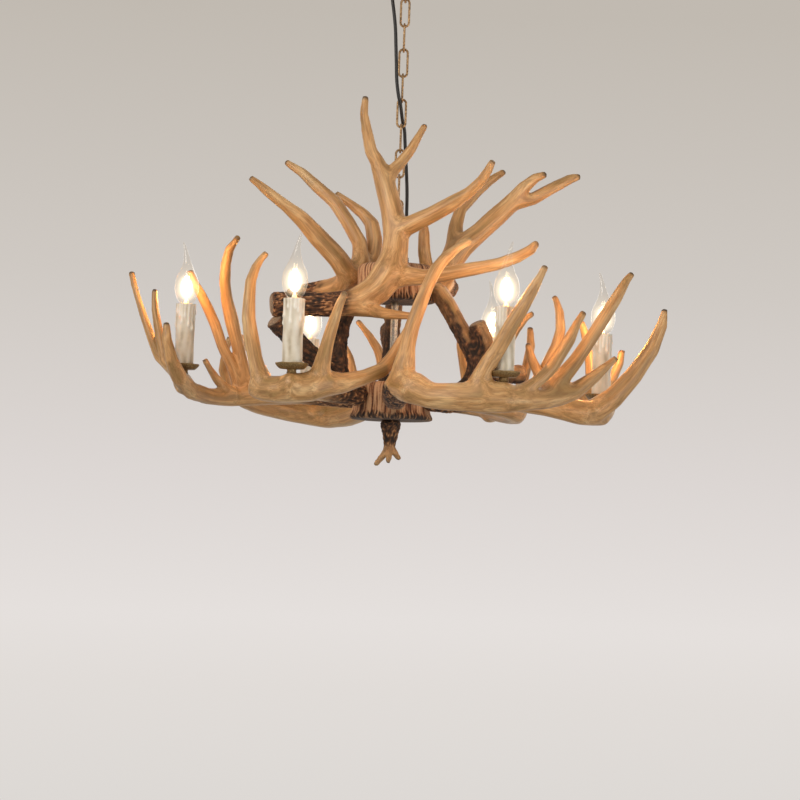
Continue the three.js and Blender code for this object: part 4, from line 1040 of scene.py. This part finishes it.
# Setting: pale floor far below, pale studio surround and soft lights
studio = {
    "floorHeight": -4.7, "floorRadius": 9.0, "clearFrom": 3.5, "clearTo": 8.5,
    "floorColour": "#DAD6D2", "floorLift": 0.34, "ambient": 0.5, "ambientColour": "#F4F1EE",
}
surroundStops = [
    # how steeply the ray looks up, with 0.5 for level, and the colour there
    (0.40, "#DCD8D4"), (0.45, "#E1DCD8"), (0.475, "#E5E0DD"), (0.53, "#DCD6D3"), (0.60, "#CFC9C3"),
    (0.70, "#C1BAB1"),
]
softLights = [
    # name, place, size, power, colour
    ("key", (-1.9, -2.3, 0.6), 1.8, 47, "#FFF7EE"),
    ("fill", (2.1, -2.1, -1.1), 1.8, 25, "#FFFBF5"),
    ("back", (0.6, 2.2, 0.3), 1.6, 16, "#FFF8F0"),
]


def makeFloor():
    bpy.ops.mesh.primitive_circle_add(vertices=96, radius=studio["floorRadius"], fill_type="NGON",
                                      location=(0, 0, studio["floorHeight"]))
    floor = bpy.context.object
    floor.name = "floor"
    bpy.ops.object.transform_apply(location=True)
    finish, tree, shader, place = newFinish("paleFloor")
    seen = addNode(tree, "ShaderNodeLightPath").outputs["Is Camera Ray"]
    colour = linear(studio["floorColour"])
    feed(tree, shader, {"Base Color": colour, "Roughness": 0.9, "Emission Color": colour,
                        "Emission Strength": mathOf(tree, "MULTIPLY", seen, studio["floorLift"])})
    flat = addNode(tree, "ShaderNodeVectorMath", {0: place, 1: (mm, mm, 0)}, operation="MULTIPLY")
    out = addNode(tree, "ShaderNodeVectorMath", {0: flat.outputs[0]}, operation="LENGTH").outputs["Value"]
    reach = {"Value": out, "From Min": studio["clearFrom"], "From Max": studio["clearTo"]}
    fade = addNode(tree, "ShaderNodeMapRange", reach, interpolation_type="SMOOTHSTEP")
    clear = addNode(tree, "ShaderNodeBsdfTransparent")
    showSurface(tree, mixedShader(tree, fade.outputs[0], shader, clear))
    floor.data.materials.append(finish)


def makeSurround():
    world = bpy.context.scene.world or bpy.data.worlds.new("surround")
    bpy.context.scene.world = world
    world.use_nodes = True
    tree = world.node_tree
    tree.nodes.clear()
    way = addNode(tree, "ShaderNodeTexCoord").outputs["Generated"]
    rise = addNode(tree, "ShaderNodeSeparateXYZ", {0: way}).outputs[2]
    seen = rampOf(tree, mathOf(tree, "ADD", rise, 0.5), *surroundStops)
    seenSky = addNode(tree, "ShaderNodeBackground", {"Color": seen, "Strength": 1.0})
    ambient = {"Color": linear(studio["ambientColour"]), "Strength": studio["ambient"]}
    softSky = addNode(tree, "ShaderNodeBackground", ambient)
    ray = addNode(tree, "ShaderNodeLightPath").outputs
    direct = mathOf(tree, "ADD", ray["Is Camera Ray"], ray["Is Glossy Ray"])
    straight = mathOf(tree, "ADD", direct, ray["Is Transmission Ray"], use_clamp=True)
    both = mixedShader(tree, straight, softSky, seenSky)
    addNode(tree, "ShaderNodeOutputWorld", {"Surface": both.outputs[0]})


def makeLights():
    middle = Vector((0, 0, -0.55))
    for name, place, size, power, colour in softLights:
        aim = (middle - Vector(place)).to_track_quat("-Z", "Y").to_euler()
        addLight("AREA", name, place, power, colour, rotation=aim).data.size = size


makeFloor()
makeSurround()
makeLights()
bpy.context.scene.view_settings.view_transform = "Standard"
deselect()
print("setting made")
